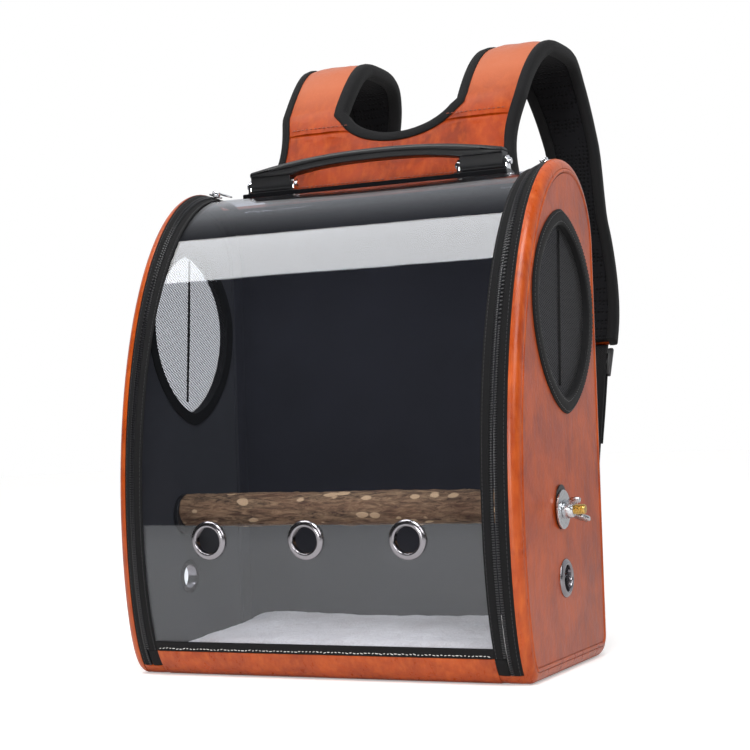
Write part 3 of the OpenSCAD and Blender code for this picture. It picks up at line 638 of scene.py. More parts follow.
def clear_front():
    """The curved sheet, with three holes for the eyelets, and the strip under the handle."""
    sheet = bent_sheet("window_pane", angles(FOOT_A, CROWN_A, 2.0), (-148, -74, 0, 74, 148),
                       lambda a, x: window_pt(a, 1.3), lambda a: window_pt(a, 2.5))
    for x in EYELET_XS:
        bpy.ops.mesh.primitive_cylinder_add(vertices=64, radius=0.0117, depth=0.03,
                                            location=(x * MM, -0.1035, EYELET_Z * MM),
                                            rotation=(EYELET_TIP, 0, 0))
        drill = bpy.context.object
        modifier(sheet, "BOOLEAN", object=drill, operation="DIFFERENCE", solver="EXACT")
        bpy.data.objects.remove(drill)
    fit(sheet, PVC, "clear_sheet", "window_sheet", "window", 25)
    crown = bent_sheet("crown_pane", angles(92.5, YOKE_A + 1, 2.0), (-OPEN_X, OPEN_X),
                       lambda a, x: window_pt(a, 1.2), lambda a: window_pt(a, 2.4))
    fit(crown, PVC, "clear_sheet", "top_sheet", smooth=25)


def band_strip(name, side, x0, x1, high, low, thick=1.2, fold=0.35, step=2.5):
    """A strip on the zip band; fold rounds its edges over."""
    xs = sorted({x0, x1, *[x for x in (148.0, 151.0, 155.0, 158.5) if x0 + 0.4 < x < x1 - 0.4]})
    rings = [[band_pt(x, a, fold if x in (x0, x1) else 0) for x in xs]
             + [band_pt(x, a, thick) for x in reversed(xs)] for a in angles(high, low, step)]
    return skin(name, on_side(side, rings))


def tooth_row(name, side, out, high, low, body, stands_for):
    """One row of the nylon coil: a rounded tooth every 1.9 mm, its head across the gap."""
    fine = angles(high, low, 0.5)
    points = []
    for k, f in paced([band_pt(ZIP_X, a) for a in fine], TOOTH_PITCH,
                      0.25 if out > 0 else 0.75):
        a = fine[k] + (fine[k + 1] - fine[k]) * f
        here = Vector(band_pt(ZIP_X, a))
        ahead = (Vector(band_pt(ZIP_X, a - 0.3)) - here).normalized()
        across = (Vector(band_pt(ZIP_X + 1, a)) - here).normalized()
        lift = across.cross(ahead).normalized()
        if lift.dot(Vector((0, here.y - TOP_Y, here.z - BELLY_Z))) < 0:
            lift = -lift
        # Loop of the coil from its root on the tape to its head past the middle
        for reach, half, low_z, high_z in ((2.6, 0.42, 0.0, 0.5), (1.9, 0.5, 0.0, 1.05),
                                           (0.9, 0.5, 0.05, 1.1), (0.3, 0.62, 0.2, 0.9)):
            for w, h in ((-half, low_z), (half, low_z), (half, high_z), (-half, high_z)):
                points.append(tuple(here + across * reach * out + ahead * w + lift * h))
    fit(tubes(name, on_side(side, [points])[0], 4), COIL, "zip_teeth", stands_for, body, 50)


def zips():
    """Fixed and window tapes of both zips, sewn along their edges, with the coils between."""
    start, stop = foot_angle(7), YOKE_A + 2.6
    for name, side in SIDES:
        tape = join("fixed_tape_" + name, [
            band_strip("t", side, *across, high, low) for across, high, low in
            ((OUTER_TAPE, start, stop), (INNER_TAPE, start, SILL_A), (INNER_TAPE, 92.4, stop))])
        fit(tape, TAPE, "zip_tape", "zip_tape_" + name)
        fit(band_strip("window_tape_sewn_" + name, side, *INNER_TAPE, FOOT_A, CROWN_A), TAPE,
            "zip_tape", "window_tape_" + name, "window")
        tooth_row("fixed_coil_" + name, side, 1, start - 1.4, stop + 1.5, "shell",
                  "zip_teeth_" + name)
        tooth_row("window_coil_" + name, side, -1, FOOT_A - 0.5, CROWN_A + 0.3, "window",
                  "window_teeth_" + name)
        for x, body, turns, tag in ((159.6, "shell", angles(start, stop), "outer"),
                                    (144.6, "window", angles(FOOT_A, CROWN_A), "inner")):
            line = on_side(side, [[band_pt(x, a) for a in turns]])[0]
            out = [(0, edge_pt(a)[0] - edge_pt(a, 5)[0], edge_pt(a)[1] - edge_pt(a, 5)[1])
                   for a in turns]
            stitches(f"tape_stitches_{tag}_{name}", line, out, BLACK_THREAD, "zip_tape",
                     3.2, 2.4, 0.45, body)


def window_foot():
    """The ribbed hem along the window's foot, with the ragged white lockstitch above it."""
    hem = bent_sheet("foot_hem", angles(FOOT_A, foot_angle(26.85), 1.0),
                     (-OPEN_X, -140, 0, 140, OPEN_X),
                     lambda a, x: window_pt(a, 0 if abs(x) < 142 else 0.4),
                     lambda a: window_pt(a, 1.2))
    fit(hem, BINDING, "binding", "window_hem", "window")
    chance = random.Random(4)
    a = foot_angle(22.2)
    line = [(-141 + 2 * k, *window_pt(a + chance.uniform(-0.12, 0.12), -0.25))
            for k in range(142)]
    stitches("foot_stitches", line, [(0, -1, -0.3)] * len(line), WHITE_THREAD, "binding",
             3.1, 2.1, 0.6, "window", 0.35, 7)


# ---------------------------------------------------------------- leather shell

def rolled_edges():
    """The leather rolled over each edge, and the thin welt in the groove behind it."""
    roll = [(162 + 8 * sin(radians(q)), 8 * (1 - cos(radians(q)))) for q in range(0, 91, 9)]
    roll += [(169.2, 8.6), (167.4, 8.4)]
    roll += [(162 + 5 * cos(radians(q)), 8 - 5 * sin(radians(q))) for q in range(0, 91, 18)]
    welt = [(169.0 + 1.8 * cos(radians(q)), 10 - 1.8 * sin(radians(q)))
            for q in range(0, 360, 30)]
    for name, side in SIDES:
        fit(round_side("rolled_edge_" + name, side, roll), ROLL, "leather_roll", "gusset_" + name)
        fit(round_side("edge_welt_" + name, side, welt), ROLL, "leather_roll", "welt_" + name)


def walls():
    """The back, the sill and its corners; the flat sides, base and linings stay CAD solids."""
    for name, side in SIDES:
        coat("side_panel_" + name, LEATHER)
        coat("lining_" + name, LINING)
    coat("base_panel", LEATHER)
    coat("back_lining", LINING)
    back = angles(YOKE_A, -90, 3.0)
    fit(bent_sheet("back_wall", back, (-WALL_X, -161.2, 0, 161.2, WALL_X),
                   lambda a, x: edge_pt(a, 0 if abs(x) < 161 else 0.5),
                   lambda a: edge_pt(a, 3.2)), LEATHER, "leather", "back_panel")
    fit(bent_sheet("back_wall_lining", back, (-164.6, 0, 164.6), lambda a, x: edge_pt(a, 3.3),
                   lambda a: edge_pt(a, 4.0)), LINING, "lining")
    # A thin black floor cloth over the leather base, under the mat
    low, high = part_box("base_panel")
    front, rear, z = low[1] / MM + 2, high[1] / MM - 2, high[2] / MM
    rings = [[(x, front, z + 0.02), (x, rear, z + 0.02), (x, rear, z + 0.12),
              (x, front, z + 0.12)] for x in (-161, 0, 161)]
    fit(skin("base_lining", rings), LINING, "lining")

    def puff(a):
        """How far the sill's padding stands out, most at half its height."""
        return 0.5 * sin(pi * (270 - a) / (270 - SILL_A)) ** 0.5
    fit(bent_sheet("sill_wrap", angles(270, SILL_A, 2.0), (-OPEN_X, -140.8, 0, 140.8, OPEN_X),
                   lambda a, x: window_pt(a, -puff(a) if abs(x) < 141 else 0.2),
                   lambda a: window_pt(a, 4)), ROLL, "leather", "front_sill")
    corners = [band_strip("c", side, 143, WALL_X, 267, foot_angle(6.5), 4, 0.5, 1.5)
               for _, side in SIDES]
    fit(join("sill_corner_wraps", corners), ROLL, "leather", "sill_corners")


def inner_seams():
    """Black tape over the seam inside each side, from the walls round to the side lining."""
    section = [(160.2, 4.3), (161.0, 8.2), (164.5, 12.6), (164.7, 17), (164.3, 17), (164.1, 12.9),
               (160.5, 8.6), (159.7, 4.3)]
    for name, side in SIDES:
        fit(round_side("inner_seam_tape_" + name, side, section), LINING, "lining")


# ---------------------------------------------------------------- vents and eyelets

VENT_Y, VENT_Z = 17, 282


def leaf(t, grow):
    """A point (y, z) of the vent's leaf outline."""
    u = cos(radians(t))
    v = sqrt(max(0.0, 1 - abs(u) ** 1.55))
    return (VENT_Y + (61 + grow) * u,
            VENT_Z + ((64 + grow) * v if t < 180 else -(74 + grow) * v))


def vents():
    """A net in each side, pleated down its middle, and the ribbed binding that wraps its edge."""
    turns = [k * 3 for k in range(120)]
    section = [(-1, 163.7), (-1, 171.2), (0.2, 172.0), (4, 172.2), (9.5, 171.8), (11, 170.9),
               (11, 170.1), (0.6, 170.1), (0.6, 164.7), (9, 164.7), (9, 163.9), (3, 163.4)]
    binding = [[(x, *leaf(t, g)) for g, x in section] for t in turns]
    # The pleat: a narrow doubled fold from point to point, leaning a little; its opaque black cloth
    # is a painted fold shadow
    pleat = []
    for k in range(25):
        f = k / 24
        wide = 1.3 * sin(pi * f) + 0.3
        y, z = 11 + 10 * f, 219 + 122 * f
        pleat.append([(166.9, y - wide, z), (168.3, y - 0.4, z), (168.3, y + 0.4, z),
                      (166.9, y + wide, z), (166.4, y, z)])
    for name, side in SIDES:
        fit(skin("vent_binding_ring_" + name, on_side(side, binding), looped=True),
            BINDING, "binding", "vent_binding_" + name, smooth=50)
        rim = [(166.8 * side, *leaf(t, -0.3)) for t in turns]
        net = make_mesh("vent_net_cloth_" + name, rim + [(166.8 * side, VENT_Y, VENT_Z)],
                        [(k, (k + 1) % 120, 120) for k in range(120)])
        fit(net, NET, "net", "vent_net_" + name)
        # Opaque black cloth on the pleat: a real fold, darkened as a painted shadow
        fit(skin("net_pleat_" + name, on_side(side, pleat)), BINDING_PLAIN, "net")
        for grow, tag in ((9.2, "outer"), (1.4, "inner")):
            line = [(172.0 * side, *leaf(t, grow)) for t in turns + [0]]
            stitches(f"vent_stitches_{tag}_{name}", line, [(side, 0, 0)] * len(line),
                     BLACK_THREAD, "binding", 3.4, 2.4, 0.5)


def eyelet(name, place, turn, wall, body, stands_for):
    """A pressed eyelet: a rolled flange outside, a barrel through the wall and a ring behind."""
    profile = [(10.0, -wall - 1.2), (10.0, 1.2), (10.3, 1.9), (11.0, 2.4), (12.0, 2.4), (13.4, 1.8),
               (14.6, 1.0), (15.0, 0.35), (15.0, 0.2), (11.5, 0.2), (11.5, -wall - 0.2),
               (14.0, -wall - 0.2), (14.0, -wall - 1.2)]
    rings = [[(r * cos(t), r * sin(t), h) for r, h in profile]
             for t in (2 * pi * k / 64 for k in range(64))]
    ring = moved(skin(name, rings, looped=True), Matrix.Translation(Vector(place) * MM) @ turn)
    return fit(ring, NICKEL, "nickel", stands_for, body, 40)


def eyelets():
    y, _ = window_pt(foot_angle(EYELET_Z), 1.3)
    for k, x in enumerate(EYELET_XS):
        eyelet(f"front_eyelet_{k}", (x, y, EYELET_Z), Matrix.Rotation(EYELET_TIP, 4, "X"), 1.8,
               "window", "" if k else "window_eyelets")
    for name, side in SIDES:
        eyelet("side_eyelet_ring_" + name, (170 * side, 1, 71),
               Matrix.Rotation(radians(90 * side), 4, "Y"), 5.2, "shell", "side_eyelet_" + name)


# ---------------------------------------------------------------- perch and its fastenings

PERCH = (-6, 124)
BRANCH_RISE = 3.2


def perch():
    """A branch with its bark on: crooked, knotted and furrowed along its length."""
    rings = []
    for k in range(261):
        x = -160.4 + 320.8 * k / 260
        ring = []
        for j in range(72):
            c, s = cos(2 * pi * j / 72), sin(2 * pi * j / 72)
            ridge = noise.noise(Vector((x * 0.05, c * 3.2, s * 3.2 + 9)))
            fine = noise.noise(Vector((x * 0.16, c * 7, s * 7 + 3)))
            knot = max(0.0, noise.noise(Vector((x * 0.07 + 5, c * 1.3, s * 1.3))) - 0.25)
            r = 13.5 + 0.75 * ridge + 0.5 * fine + 2.0 * knot + 0.35 * sin(x * 0.045)
            r = min(r, 15.0 if 8 < k < 252 else 13.8)
            ring.append((x, PERCH[0] + r * c, PERCH[1] + BRANCH_RISE + r * s))
        rings.append(ring)
    fit(skin("perch_branch", rings), BARK, "bark", "perch", smooth=60)


def fastenings():
    """Collars, threaded studs, pads, washers and wing nuts at the perch's ends."""
    collars, washers, pads = [], [], []
    pad = [(PERCH[0] + 11 * cos(radians(t)), PERCH[1] + rise + 11 * sin(radians(t)))
           for rise, arc in ((-4, range(180, 361, 12)), (8, range(0, 181, 12))) for t in arc]
    # Thread of 1.25 mm pitch, cut as rings
    stud = [(0.02, 0)] + [(3.95 if k % 2 else 3.45, 0.4 + k * 0.625) for k in range(90)]
    stud += [(3.3, 57.4), (0.02, 57.5)]
    for name, side in SIDES:
        collars.append(turned("c", [(4.0, 0), (16.0, 0), (16.5, 0.5), (16.5, 3.4), (15.9, 4.0),
                                    (4.0, 4.0)], side, 160.6, PERCH))
        washers.append(turned("w", [(4.15, 0), (14.8, 0), (15.0, 0.25), (15.0, 1.3), (14.7, 1.6),
                                    (4.4, 1.6), (4.15, 1.3)], side, 171.5, PERCH, 64))
        pads.append(skin("p", on_side(side, [[(x, y, z) for y, z in pad]
                                             for x in (170.2, 171.3)])))
        fit(turned("stud_thread_" + name, stud, side, 132.4, PERCH, 24), BRASS, "brass",
            "perch_stud_" + name, smooth=30)
        wing_nut(name, side)
    fit(join("end_collars", collars), ACETAL, "black_acetal", "perch_collars")
    fit(join("flat_washers", washers), ZINC, "zinc", "washers")
    fit(join("stud_backing_pads", pads), ACETAL, "black_acetal", "stud_plates")


def wing_nut(name, side):
    """A cast wing nut: tapered hub with two swept ears, cast corners rounded over."""
    x0 = 173.25
    hub = turned("hub", [(4.0, 0), (7.3, 0), (7.5, 0.4), (6.2, 6.8), (5.6, 7.8), (4.6, 8.0),
                         (4.0, 7.6)], 1, x0, (0, 0), 40)
    wing = [(3.4, 1.2), (7, 0.9), (10, 4), (14.5, 8), (16.3, 12.6), (15.2, 16.2), (13.2, 16.6),
            (11.3, 15.8), (8.5, 11.6), (5.4, 7.2)]
    ears = [rounded(skin("ear", [[(x0 + h, flip * r, t) for r, h in wing] for t in (-1.4, 1.4)]),
                    0.6) for flip in (1, -1)]
    nut = join("wing_nut_cast_" + name, [hub] + ears)
    moved(nut, Matrix.Translation((0, PERCH[0] * MM, PERCH[1] * MM))
          @ Matrix.Rotation(radians(-35), 4, "X"), side)
    fit(nut, ZINC, "zinc", "wing_nut_" + name, "wing_nut_" + name, 40)


# ---------------------------------------------------------------- handle

PIVOT = (47.0, 403.8)


def handle():
    """Moulded strip on the crown, two plated brackets and the arched grip with its grooves."""
    ends = (92.4, YOKE_A + 14)
    turns = angles(*ends, 2.0)
    rings = []
    for x in (-121, -120.4, -60, 0, 60, 120.4, 121):
        inner = 0.8 if abs(x) > 120.5 else 0
        rings.append([(x, *window_pt(a, -3 + inner + (0.8 if a in ends else 0))) for a in turns]
                     + [(x, *window_pt(a, 1)) for a in reversed(turns)])
    fit(skin("handle_strip", rings), GLOSS_ABS, "black_abs", "handle_plate", smooth=30)
    for name, side in SIDES:
        fit(bracket(name, side), CHROME, "chrome", "handle_bracket_" + name)
    pins = []
    for name, side in SIDES:
        for x, reach in ((74, 1), (120, -1)):
            for profile in ([(0.02, 0), (2.7, 0), (3.1, -0.5), (2.6, -1.2), (0.02, -1.5)],
                            [(0.02, 0), (1.98, 0), (1.98, 13.5), (0.02, 13.5)]):
                pins.append(turned("pin", [(r, h * reach) for r, h in profile], side, x,
                                   PIVOT, 24))
    fit(join("pivot_pins", pins), CHROME, "chrome", "handle_pins", smooth=40)
    grip()


def bracket(name, side):
    """A folded bracket: a foot plate with an ear at each end, rounded over the pin."""
    y0, y1, base = PIVOT[0] - 5, PIVOT[0] + 5, 397.1
    outline = [(PIVOT[0] + 5 * cos(radians(t)), PIVOT[1] + 5 * sin(radians(t)))
               for t in range(0, 181, 15)] + [(y0, base), (y1, base)]
    ears = [rounded(skin("ear", on_side(side, [[(x + w, y, z) for y, z in outline]
                                               for w in (0, 3.0)])), 0.5) for x in (75.0, 116.0)]
    foot = skin("foot", on_side(side, [[(x, y0, base), (x, y1, base), (x, y1, base + 0.6),
                                        (x, y0, base + 0.6)] for x in (72.5, 119.0)]))
    return join("folded_bracket_" + name, ears + [foot])


def grip():
    """The arched grip: a rounded bar with a groove down each flank, on two pivot blocks."""
    half, eye, arch = 8.0, 5.7, 78
    ends = [78.3, 79.2, 97, 115.0, 115.6]
    rings = []
    for x in [-e for e in reversed(ends)] + [arch * (k / 30 - 1) for k in range(61)] + ends:
        top = 11.4 + 10.4 * (1 - (abs(x) / 115.8) ** 2.2)
        low = 6.4 + 5.6 * (1 - min(1.0, abs(x) / arch) ** 2.6)
        end = 0.7 if abs(x) > 115.2 else 0
        if abs(x) > 78.2:
            under = [(eye * cos(radians(q)), eye * sin(radians(q))) for q in (-90, -60, -30, 0)]
        else:
            under = [(eye * f, low) for f in (0, 0.5, 0.87, 0.99)]
        mid = (top + low) / 2
        outline = under + [(eye, low), (half - 0.7, low + 0.5 + end), (half - end, low + 1.6),
                           (half - end, mid - 0.8), (half - 0.9, mid - 0.4),
                           (half - 0.9, mid + 0.2), (half - end, mid + 0.6),
                           (half - end, top - 2.8), (half - 1.0, top - 0.9 - end),
                           (half - 3.2, top - end)]
        rings.append([(x, PIVOT[0] + y, PIVOT[1] + z) for y, z in outline]
                     + [(x, PIVOT[0] - y, PIVOT[1] + z) for y, z in reversed(outline[1:])])
    fit(skin("handle_bow", rings), MATT_ABS, "black_abs", "handle_grip", "handle", 40)


# ---------------------------------------------------------------- zip sliders and pulls

def sliders():
    """Plated zip sliders with a bridge over the pull's eye, and drop-shaped pulls."""
    slope = atan2(6, 14)
    place = Matrix.Translation(Vector(band_pt(ZIP_X, 90)) * MM) @ Matrix.Rotation(-slope, 4, "Y")
    axle = (0, 5.05)
    for name, side in SIDES:
        parts = [rounded(skin("plate", [[(-4.4, -2, z), (-3.2, -6, z), (3.2, -6, z), (4.4, -2, z),
                                         (3.6, 6, z), (-3.6, 6, z)] for z in pair]), 0.4)
                 for pair in ((1.75, 3.15), (-3.15, -1.75))]
        parts.append(block("post", (-0.22, 0.22), (-2, 2), (-2.6, 2.6), 0))
        for e in (-1, 1):
            parts.append(block("lug", (e * 2.6 - 0.6, e * 2.6 + 0.6), (-2, 2), (2.4, 6.6), 0.4))
        parts.append(turned("pin", [(0.02, -2.6), (0.8, -2.6), (0.8, 2.6), (0.02, 2.6)], 1, 0,
                            axle, 16))
        made = moved(join("zip_slider_" + name, parts), place, side)
        fit(made, CHROME, "chrome", "slider_" + name, "slider_" + name, 40)
        eye = turned("eye", [(0.86, -1.8), (1.7, -1.8), (1.7, 1.8), (0.86, 1.8)], 1, 0, axle, 24)
        outline = [(-1.8, 1.2), (-1.9, 6), (-3.4, 9), (-3.6, 21), (-2.4, 24), (2.4, 24),
                   (3.6, 21), (3.4, 9), (1.9, 6), (1.8, 1.2)]
        tab = rounded(skin("tab", [[(x, y, axle[1] + h) for x, y in outline]
                                   for h in (-0.65, 0.65)]), 0.4)
        pull = moved(join("zip_pull_" + name, [eye, tab]), place, side)
        fit(pull, CHROME, "chrome", "pull_" + name, "pull_" + name, 40)


# ---------------------------------------------------------------- padding

def swell(piece, voxel, cap, held, pressure):
    """Cloth simulation of padding: remeshed, blown up a little, held where it is sewn down."""
    modifier(piece, "REMESH", mode="VOXEL", voxel_size=voxel * MM)
    start = [v.co.copy() for v in piece.data.vertices]
    group = piece.vertex_groups.new(name="sewn")
    group.add([v.index for v in piece.data.vertices if held(v.co / MM)], 1.0, "REPLACE")
    cloth = piece.modifiers.new("stuffing", "CLOTH")
    cloth.settings.use_pressure = True
    cloth.settings.uniform_pressure_force = pressure
    cloth.settings.effector_weights.gravity = 0
    cloth.settings.vertex_group_mass = "sewn"
    cloth.point_cache.frame_start, cloth.point_cache.frame_end = 1, 20
    for step in range(1, 21):
        bpy.context.scene.frame_set(step)
    blown = piece.evaluated_get(bpy.context.evaluated_depsgraph_get()).data
    ends = [v.co.copy() for v in blown.vertices]
    piece.modifiers.remove(cloth)
    bpy.context.scene.frame_set(1)
    for vertex, a, b in zip(piece.data.vertices, start, ends):
        move = b - a
        if move.length > cap * MM:
            move *= cap * MM / move.length
        vertex.co = a + move
    piece.vertex_groups.clear()


def cushion_rings(width, height, thick, columns, rows, to_place, flat=4):
    """Rings of a cushion standing on a plane, crowned, its sides drawn in between corners."""
    rings = []
    for j in range(rows + 1):
        v = 2 * j / rows - 1
        crown, back = [], []
        for i in range(columns + 1):
            u = 2 * i / columns - 1
            rise = 2 + (thick - 2) * sqrt((1 - u ** flat) * (1 - v ** flat))
            x = (width / 2 - 4 * (1 - v * v) * u ** 4) * u
            z = (height / 2 - 4 * (1 - u * u) * v ** 4) * v
            crown.append(to_place(x, rise, z))
            back.append(to_place(x, 0, z))
        rings.append(crown + back[::-1])
    return rings


def dip(distance, width):
    """A sewn channel's depth, 1 in its middle and 0 from width on."""
    return max(0.0, 1 - abs(distance) / width)


def back_pads():
    """Two air-mesh pads on the back, swollen between their seams and two sewn channels."""
    for name, side in SIDES:
        rings = cushion_rings(102, 248, 9.5, 16, 36,
                              lambda x, t, z: (64 * side + x, 105.2 + t, 201 + z))
        pad = skin("back_cushion_" + name, rings)
        swell(pad, 5, 7, lambda p: p.y < 106.2, 4.0)
        for vertex in pad.data.vertices:
            p = vertex.co / MM
            for z in (161, 241):
                deep = dip(p.z - z, 7)
                if p.y > 107:
                    vertex.co.y -= (p.y - 107) * 0.55 * deep * deep * (3 - 2 * deep) * MM
            vertex.co.y = min(max(vertex.co.y, 0.1052), 0.1195)
        modifier(pad, "SUBSURF", levels=1, render_levels=1)
        fit(pad, AIR_MESH, "air_mesh", "back_pad_" + name, smooth=80)


def floor_mat():
    """A fleece mat: soft crowned slab with a curled pile edge."""
    y0, y1 = -64.0, 88.0

    def place(x, t, z):
        """The pile is thin in front and thick at the back, as the mat lies in the photograph."""
        far = (z + (y1 - y0) / 2) / (y1 - y0)
        return x, (y0 + y1) / 2 + z, 4.25 + t * (0.70 + 0.56 * far)
    mat = skin("fleece_mat", cushion_rings(316, y1 - y0, 24, 44, 24, place, 22))
    swell(mat, 5, 3, lambda p: p.z < 5.2, 3.0)
    modifier(mat, "SUBSURF", levels=1, render_levels=1)
    for vertex in mat.data.vertices:
        p = vertex.co / MM
        if p.z > 8:
            tuft = noise.noise(Vector(p) * 0.22) * 0.7 + noise.noise(Vector(p) * 0.05) * 1.1
            # Sewn channel just inside the bound rim
            deep = dip(min(155 - abs(p.x), p.y - y0, y1 - p.y) - 9, 4)
            vertex.co.z += (tuft - 1.8 * deep * deep) * MM
        vertex.co.z = max(vertex.co.z, 0.00425)
        vertex.co.x = min(max(vertex.co.x, -0.1590), 0.1590)
        vertex.co.y = min(max(vertex.co.y, -0.0665), 0.0885)
    fit(mat, FLEECE, "fleece", "floor_mat", "mat", 80)


# ---------------------------------------------------------------- yoke and shoulder straps

LEAN = radians(24)
LEAN_UP, LEAN_OUT = (sin(LEAN), cos(LEAN)), (-cos(LEAN), sin(LEAN))
YOKE_FOOT = (72.0, CROWN_Z + 65 * sin(radians(YOKE_A)))
YOKE_H = 82.0
STRAP_V = YOKE_H + 1
SEAM_V = 64.0
TURN, SQUARE, HOOP_W, HOOP_FRONT, HOOP_RISE, SLANT = 156.0, 0.55, 70.0, 60.0, 54.0, 0.6
HOOP_H = HOOP_RISE / (1 - sin(radians(TURN)) ** SQUARE)
HOOP = (YOKE_FOOT[0] + STRAP_V * sin(LEAN) + HOOP_FRONT * (-cos(radians(TURN))) ** SQUARE
        + SLANT * HOOP_RISE,
        YOKE_FOOT[1] + STRAP_V * cos(LEAN) - HOOP_H * sin(radians(TURN)) ** SQUARE)
FALL, FALL_R = 29.0, 250.0
NECK_HALF, NECK_V, NECK_DEEP = 54, 96, 39


def ease(u):
    return u * u * (3 - 2 * u)


def strap_mid(u):
    return 84 + 8 * ease(min(1, u * 2)) + 34 * ease(max(0, (u - 0.4) / 0.6))


def strap_half(u):
    return 30 + 1.5 * sin(pi * min(1, 2 * u)) - 9 * ease(max(0, 2 * u - 1))


def hoop_pt(q):
    run, lift = abs(cos(radians(q))) ** SQUARE, max(0.0, sin(radians(q))) ** SQUARE
    back = HOOP_W * run if q <= 90 else -HOOP_FRONT * run - SLANT * HOOP_H * (1 - lift)
    return HOOP[0] + back, HOOP[1] + HOOP_H * lift


def strap_line():
    """Places (y, z) along the strap from the yoke over the hoop and down."""
    line = [hoop_pt(TURN * (1 - k / 16)) for k in range(17)]
    line += [(HOOP[0] + HOOP_W - FALL_R * (1 - cos(radians(FALL * k / 6))),
              HOOP[1] - FALL_R * sin(radians(FALL * k / 6))) for k in range(1, 7)]
    return line


def smooth_line(points, parts):
    """Catmull-Rom points between the given ones."""
    made = []
    for k in range(len(points) - 1):
        p0, p1 = points[max(0, k - 1)], points[k]
        p2, p3 = points[k + 1], points[min(len(points) - 1, k + 2)]
        for t in (j / parts for j in range(parts)):
            made.append(tuple(0.5 * (2 * b + (c - a) * t + (2 * a - 5 * b + 4 * c - d) * t * t
                                     + (3 * b - a - 3 * c + d) * t ** 3)
                              for a, b, c, d in zip(p0, p1, p2, p3)))
    return made + [tuple(points[-1])]


def yoke_half(v):
    return 118 - 6.4 * sin(pi * v / YOKE_H) - 4 * v / YOKE_H


def neck_edge(v):
    """Half width of the neck notch at height v of the yoke."""
    return NECK_HALF * sqrt(max(0.0, 1 - ((NECK_V - v) / NECK_DEEP) ** 2)) if v > 57 else 0.0


def from_edge(x, x0, x1, v):
    """Distance of a point of the harness from its nearest bound edge."""
    inner = x - x0
    if v < STRAP_V:
        inner = (sqrt((x / NECK_HALF) ** 2 + ((NECK_V - v) / NECK_DEEP) ** 2) - 1) * 42
    return min(inner, x1 - x)


def yoke_pt(v, n=0.0):
    """A point (y, z) at height v of the yoke, n in front of its middle."""
    return (YOKE_FOOT[0] + v * LEAN_UP[0] + n * LEAN_OUT[0],
            YOKE_FOOT[1] + v * LEAN_UP[1] + n * LEAN_OUT[1])


def harness_rows():
    """Stations from the yoke's foot to the strap's end: middle, outward, inner and outer x."""
    heights = (0, 4, 10, 17, 24, 31, 38, 44, 49, 53, 56, 57, 57.3, 58, 59.2, 61,
               SEAM_V - 0.9, SEAM_V, SEAM_V + 0.9, 68, 72, 76, 79)
    rows = [(yoke_pt(v), LEAN_OUT, neck_edge(v), yoke_half(v), v) for v in heights]
    fine = smooth_line(strap_line(), 3)
    for k, p in enumerate(fine):
        u = k / (len(fine) - 1)
        q0, q1 = fine[max(0, k - 1)], fine[min(len(fine) - 1, k + 1)]
        ty, tz = q1[0] - q0[0], q1[1] - q0[1]
        size = sqrt(ty * ty + tz * tz)
        waist = 7 * sin(pi * min(1, max(0, (u - 0.25) / 0.75))) ** 2
        rows.append((p, (-tz / size, ty / size), strap_mid(u) - strap_half(u),
                     strap_mid(u) + strap_half(u) - waist, STRAP_V + u * 450))
    return rows


def harness():
    """Yoke and straps: leather outside, air mesh against the wearer, bound along every edge."""
    rows = harness_rows()
    columns = 14
    for name, side in SIDES:
        for tag, sign, finish, slot, thick in (("leather", 1, PAD_LEATHER, "leather", 4.6),
                                               ("mesh", -1, AIR_MESH, "air_mesh", 4.4)):
            rings = []
            for (y, z), (oy, oz), x0, x1, v in rows:
                lap = groove = 0.0
                if sign > 0 and v >= SEAM_V:
                    lap = 0.9
                elif sign > 0:
                    groove = -0.9 * dip(v - SEAM_V, 3.5)
                outer, inner = [], []
                for j in range(columns + 1):
                    x = x0 + 0.8 * (x0 > 0) + (x1 - x0 - 1.6) * j / columns
                    full = min(1.0, max(0.0, from_edge(x, x0, x1, v) - 5) / 14)
                    crease = noise.noise(Vector((x * 0.045, v * 0.03, side * 3))) * 1.1
                    crease += noise.noise(Vector((x * 0.11, v * 0.09, side * 7))) * 0.4
                    n = sign * (thick + 1.3 * sin(full * pi / 2) + (lap + crease) * full + groove)
                    outer.append((x, y + n * oy, z + n * oz))
                    inner.append((x, y, z))
                rings.append(outer + inner[::-1])
            piece = skin(f"harness_{tag}_{name}", on_side(side, rings))
            fit(piece, finish, slot, "strap_" + name if sign > 0 else "", smooth=40)
            if side > 0 and sign > 0:
                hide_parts("yoke")
    bindings(rows)
    seam_lines()


def bound_edge(name, line, outs, reach=7.0):
    """Binding tape folded over an edge: the line's left hand is the outside."""
    section = [(-reach, 5.9), (0.4 - reach, 6.4), (-reach / 2, 6.6), (-0.4, 5.8), (1.0, 3.6),
               (1.5, 0), (1.0, -3.6), (-0.4, -5.8), (-reach / 2, -6.4), (0.4 - reach, -6.2),
               (-reach, -5.6), (0.6 - reach, 0)]
    rings = []
    for k, p in enumerate(line):
        ahead = Vector(line[min(len(line) - 1, k + 1)]) - Vector(line[max(0, k - 1)])
        out = Vector(outs[k]).normalized()
        across = ahead.normalized().cross(out).normalized()
        rings.append([tuple(Vector(p) + across * b + out * n) for b, n in section])
    fit(skin(name, rings), BINDING_PLAIN, "binding", smooth=60)


def bindings(rows):
    for name, side in SIDES:
        line = [(x1 * side, y, z) for (y, z), _, _, x1, _ in rows]
        outs = [(0, *out) for _, out, _, _, _ in rows]
        bound_edge("outer_binding_" + name, line[::side], outs[::side])
    # The tape leaves one strap, turns round the neck and climbs the other
    right = [((x0, y, z), (0, *out)) for (y, z), out, x0, _, v in rows if v >= 57]
    left = [((-x, y, z), out) for (x, y, z), out in right[1:]]
    run = [*reversed(right), *left]
    bound_edge("neck_binding", [p for p, _ in run], [out for _, out in run], 9.0)


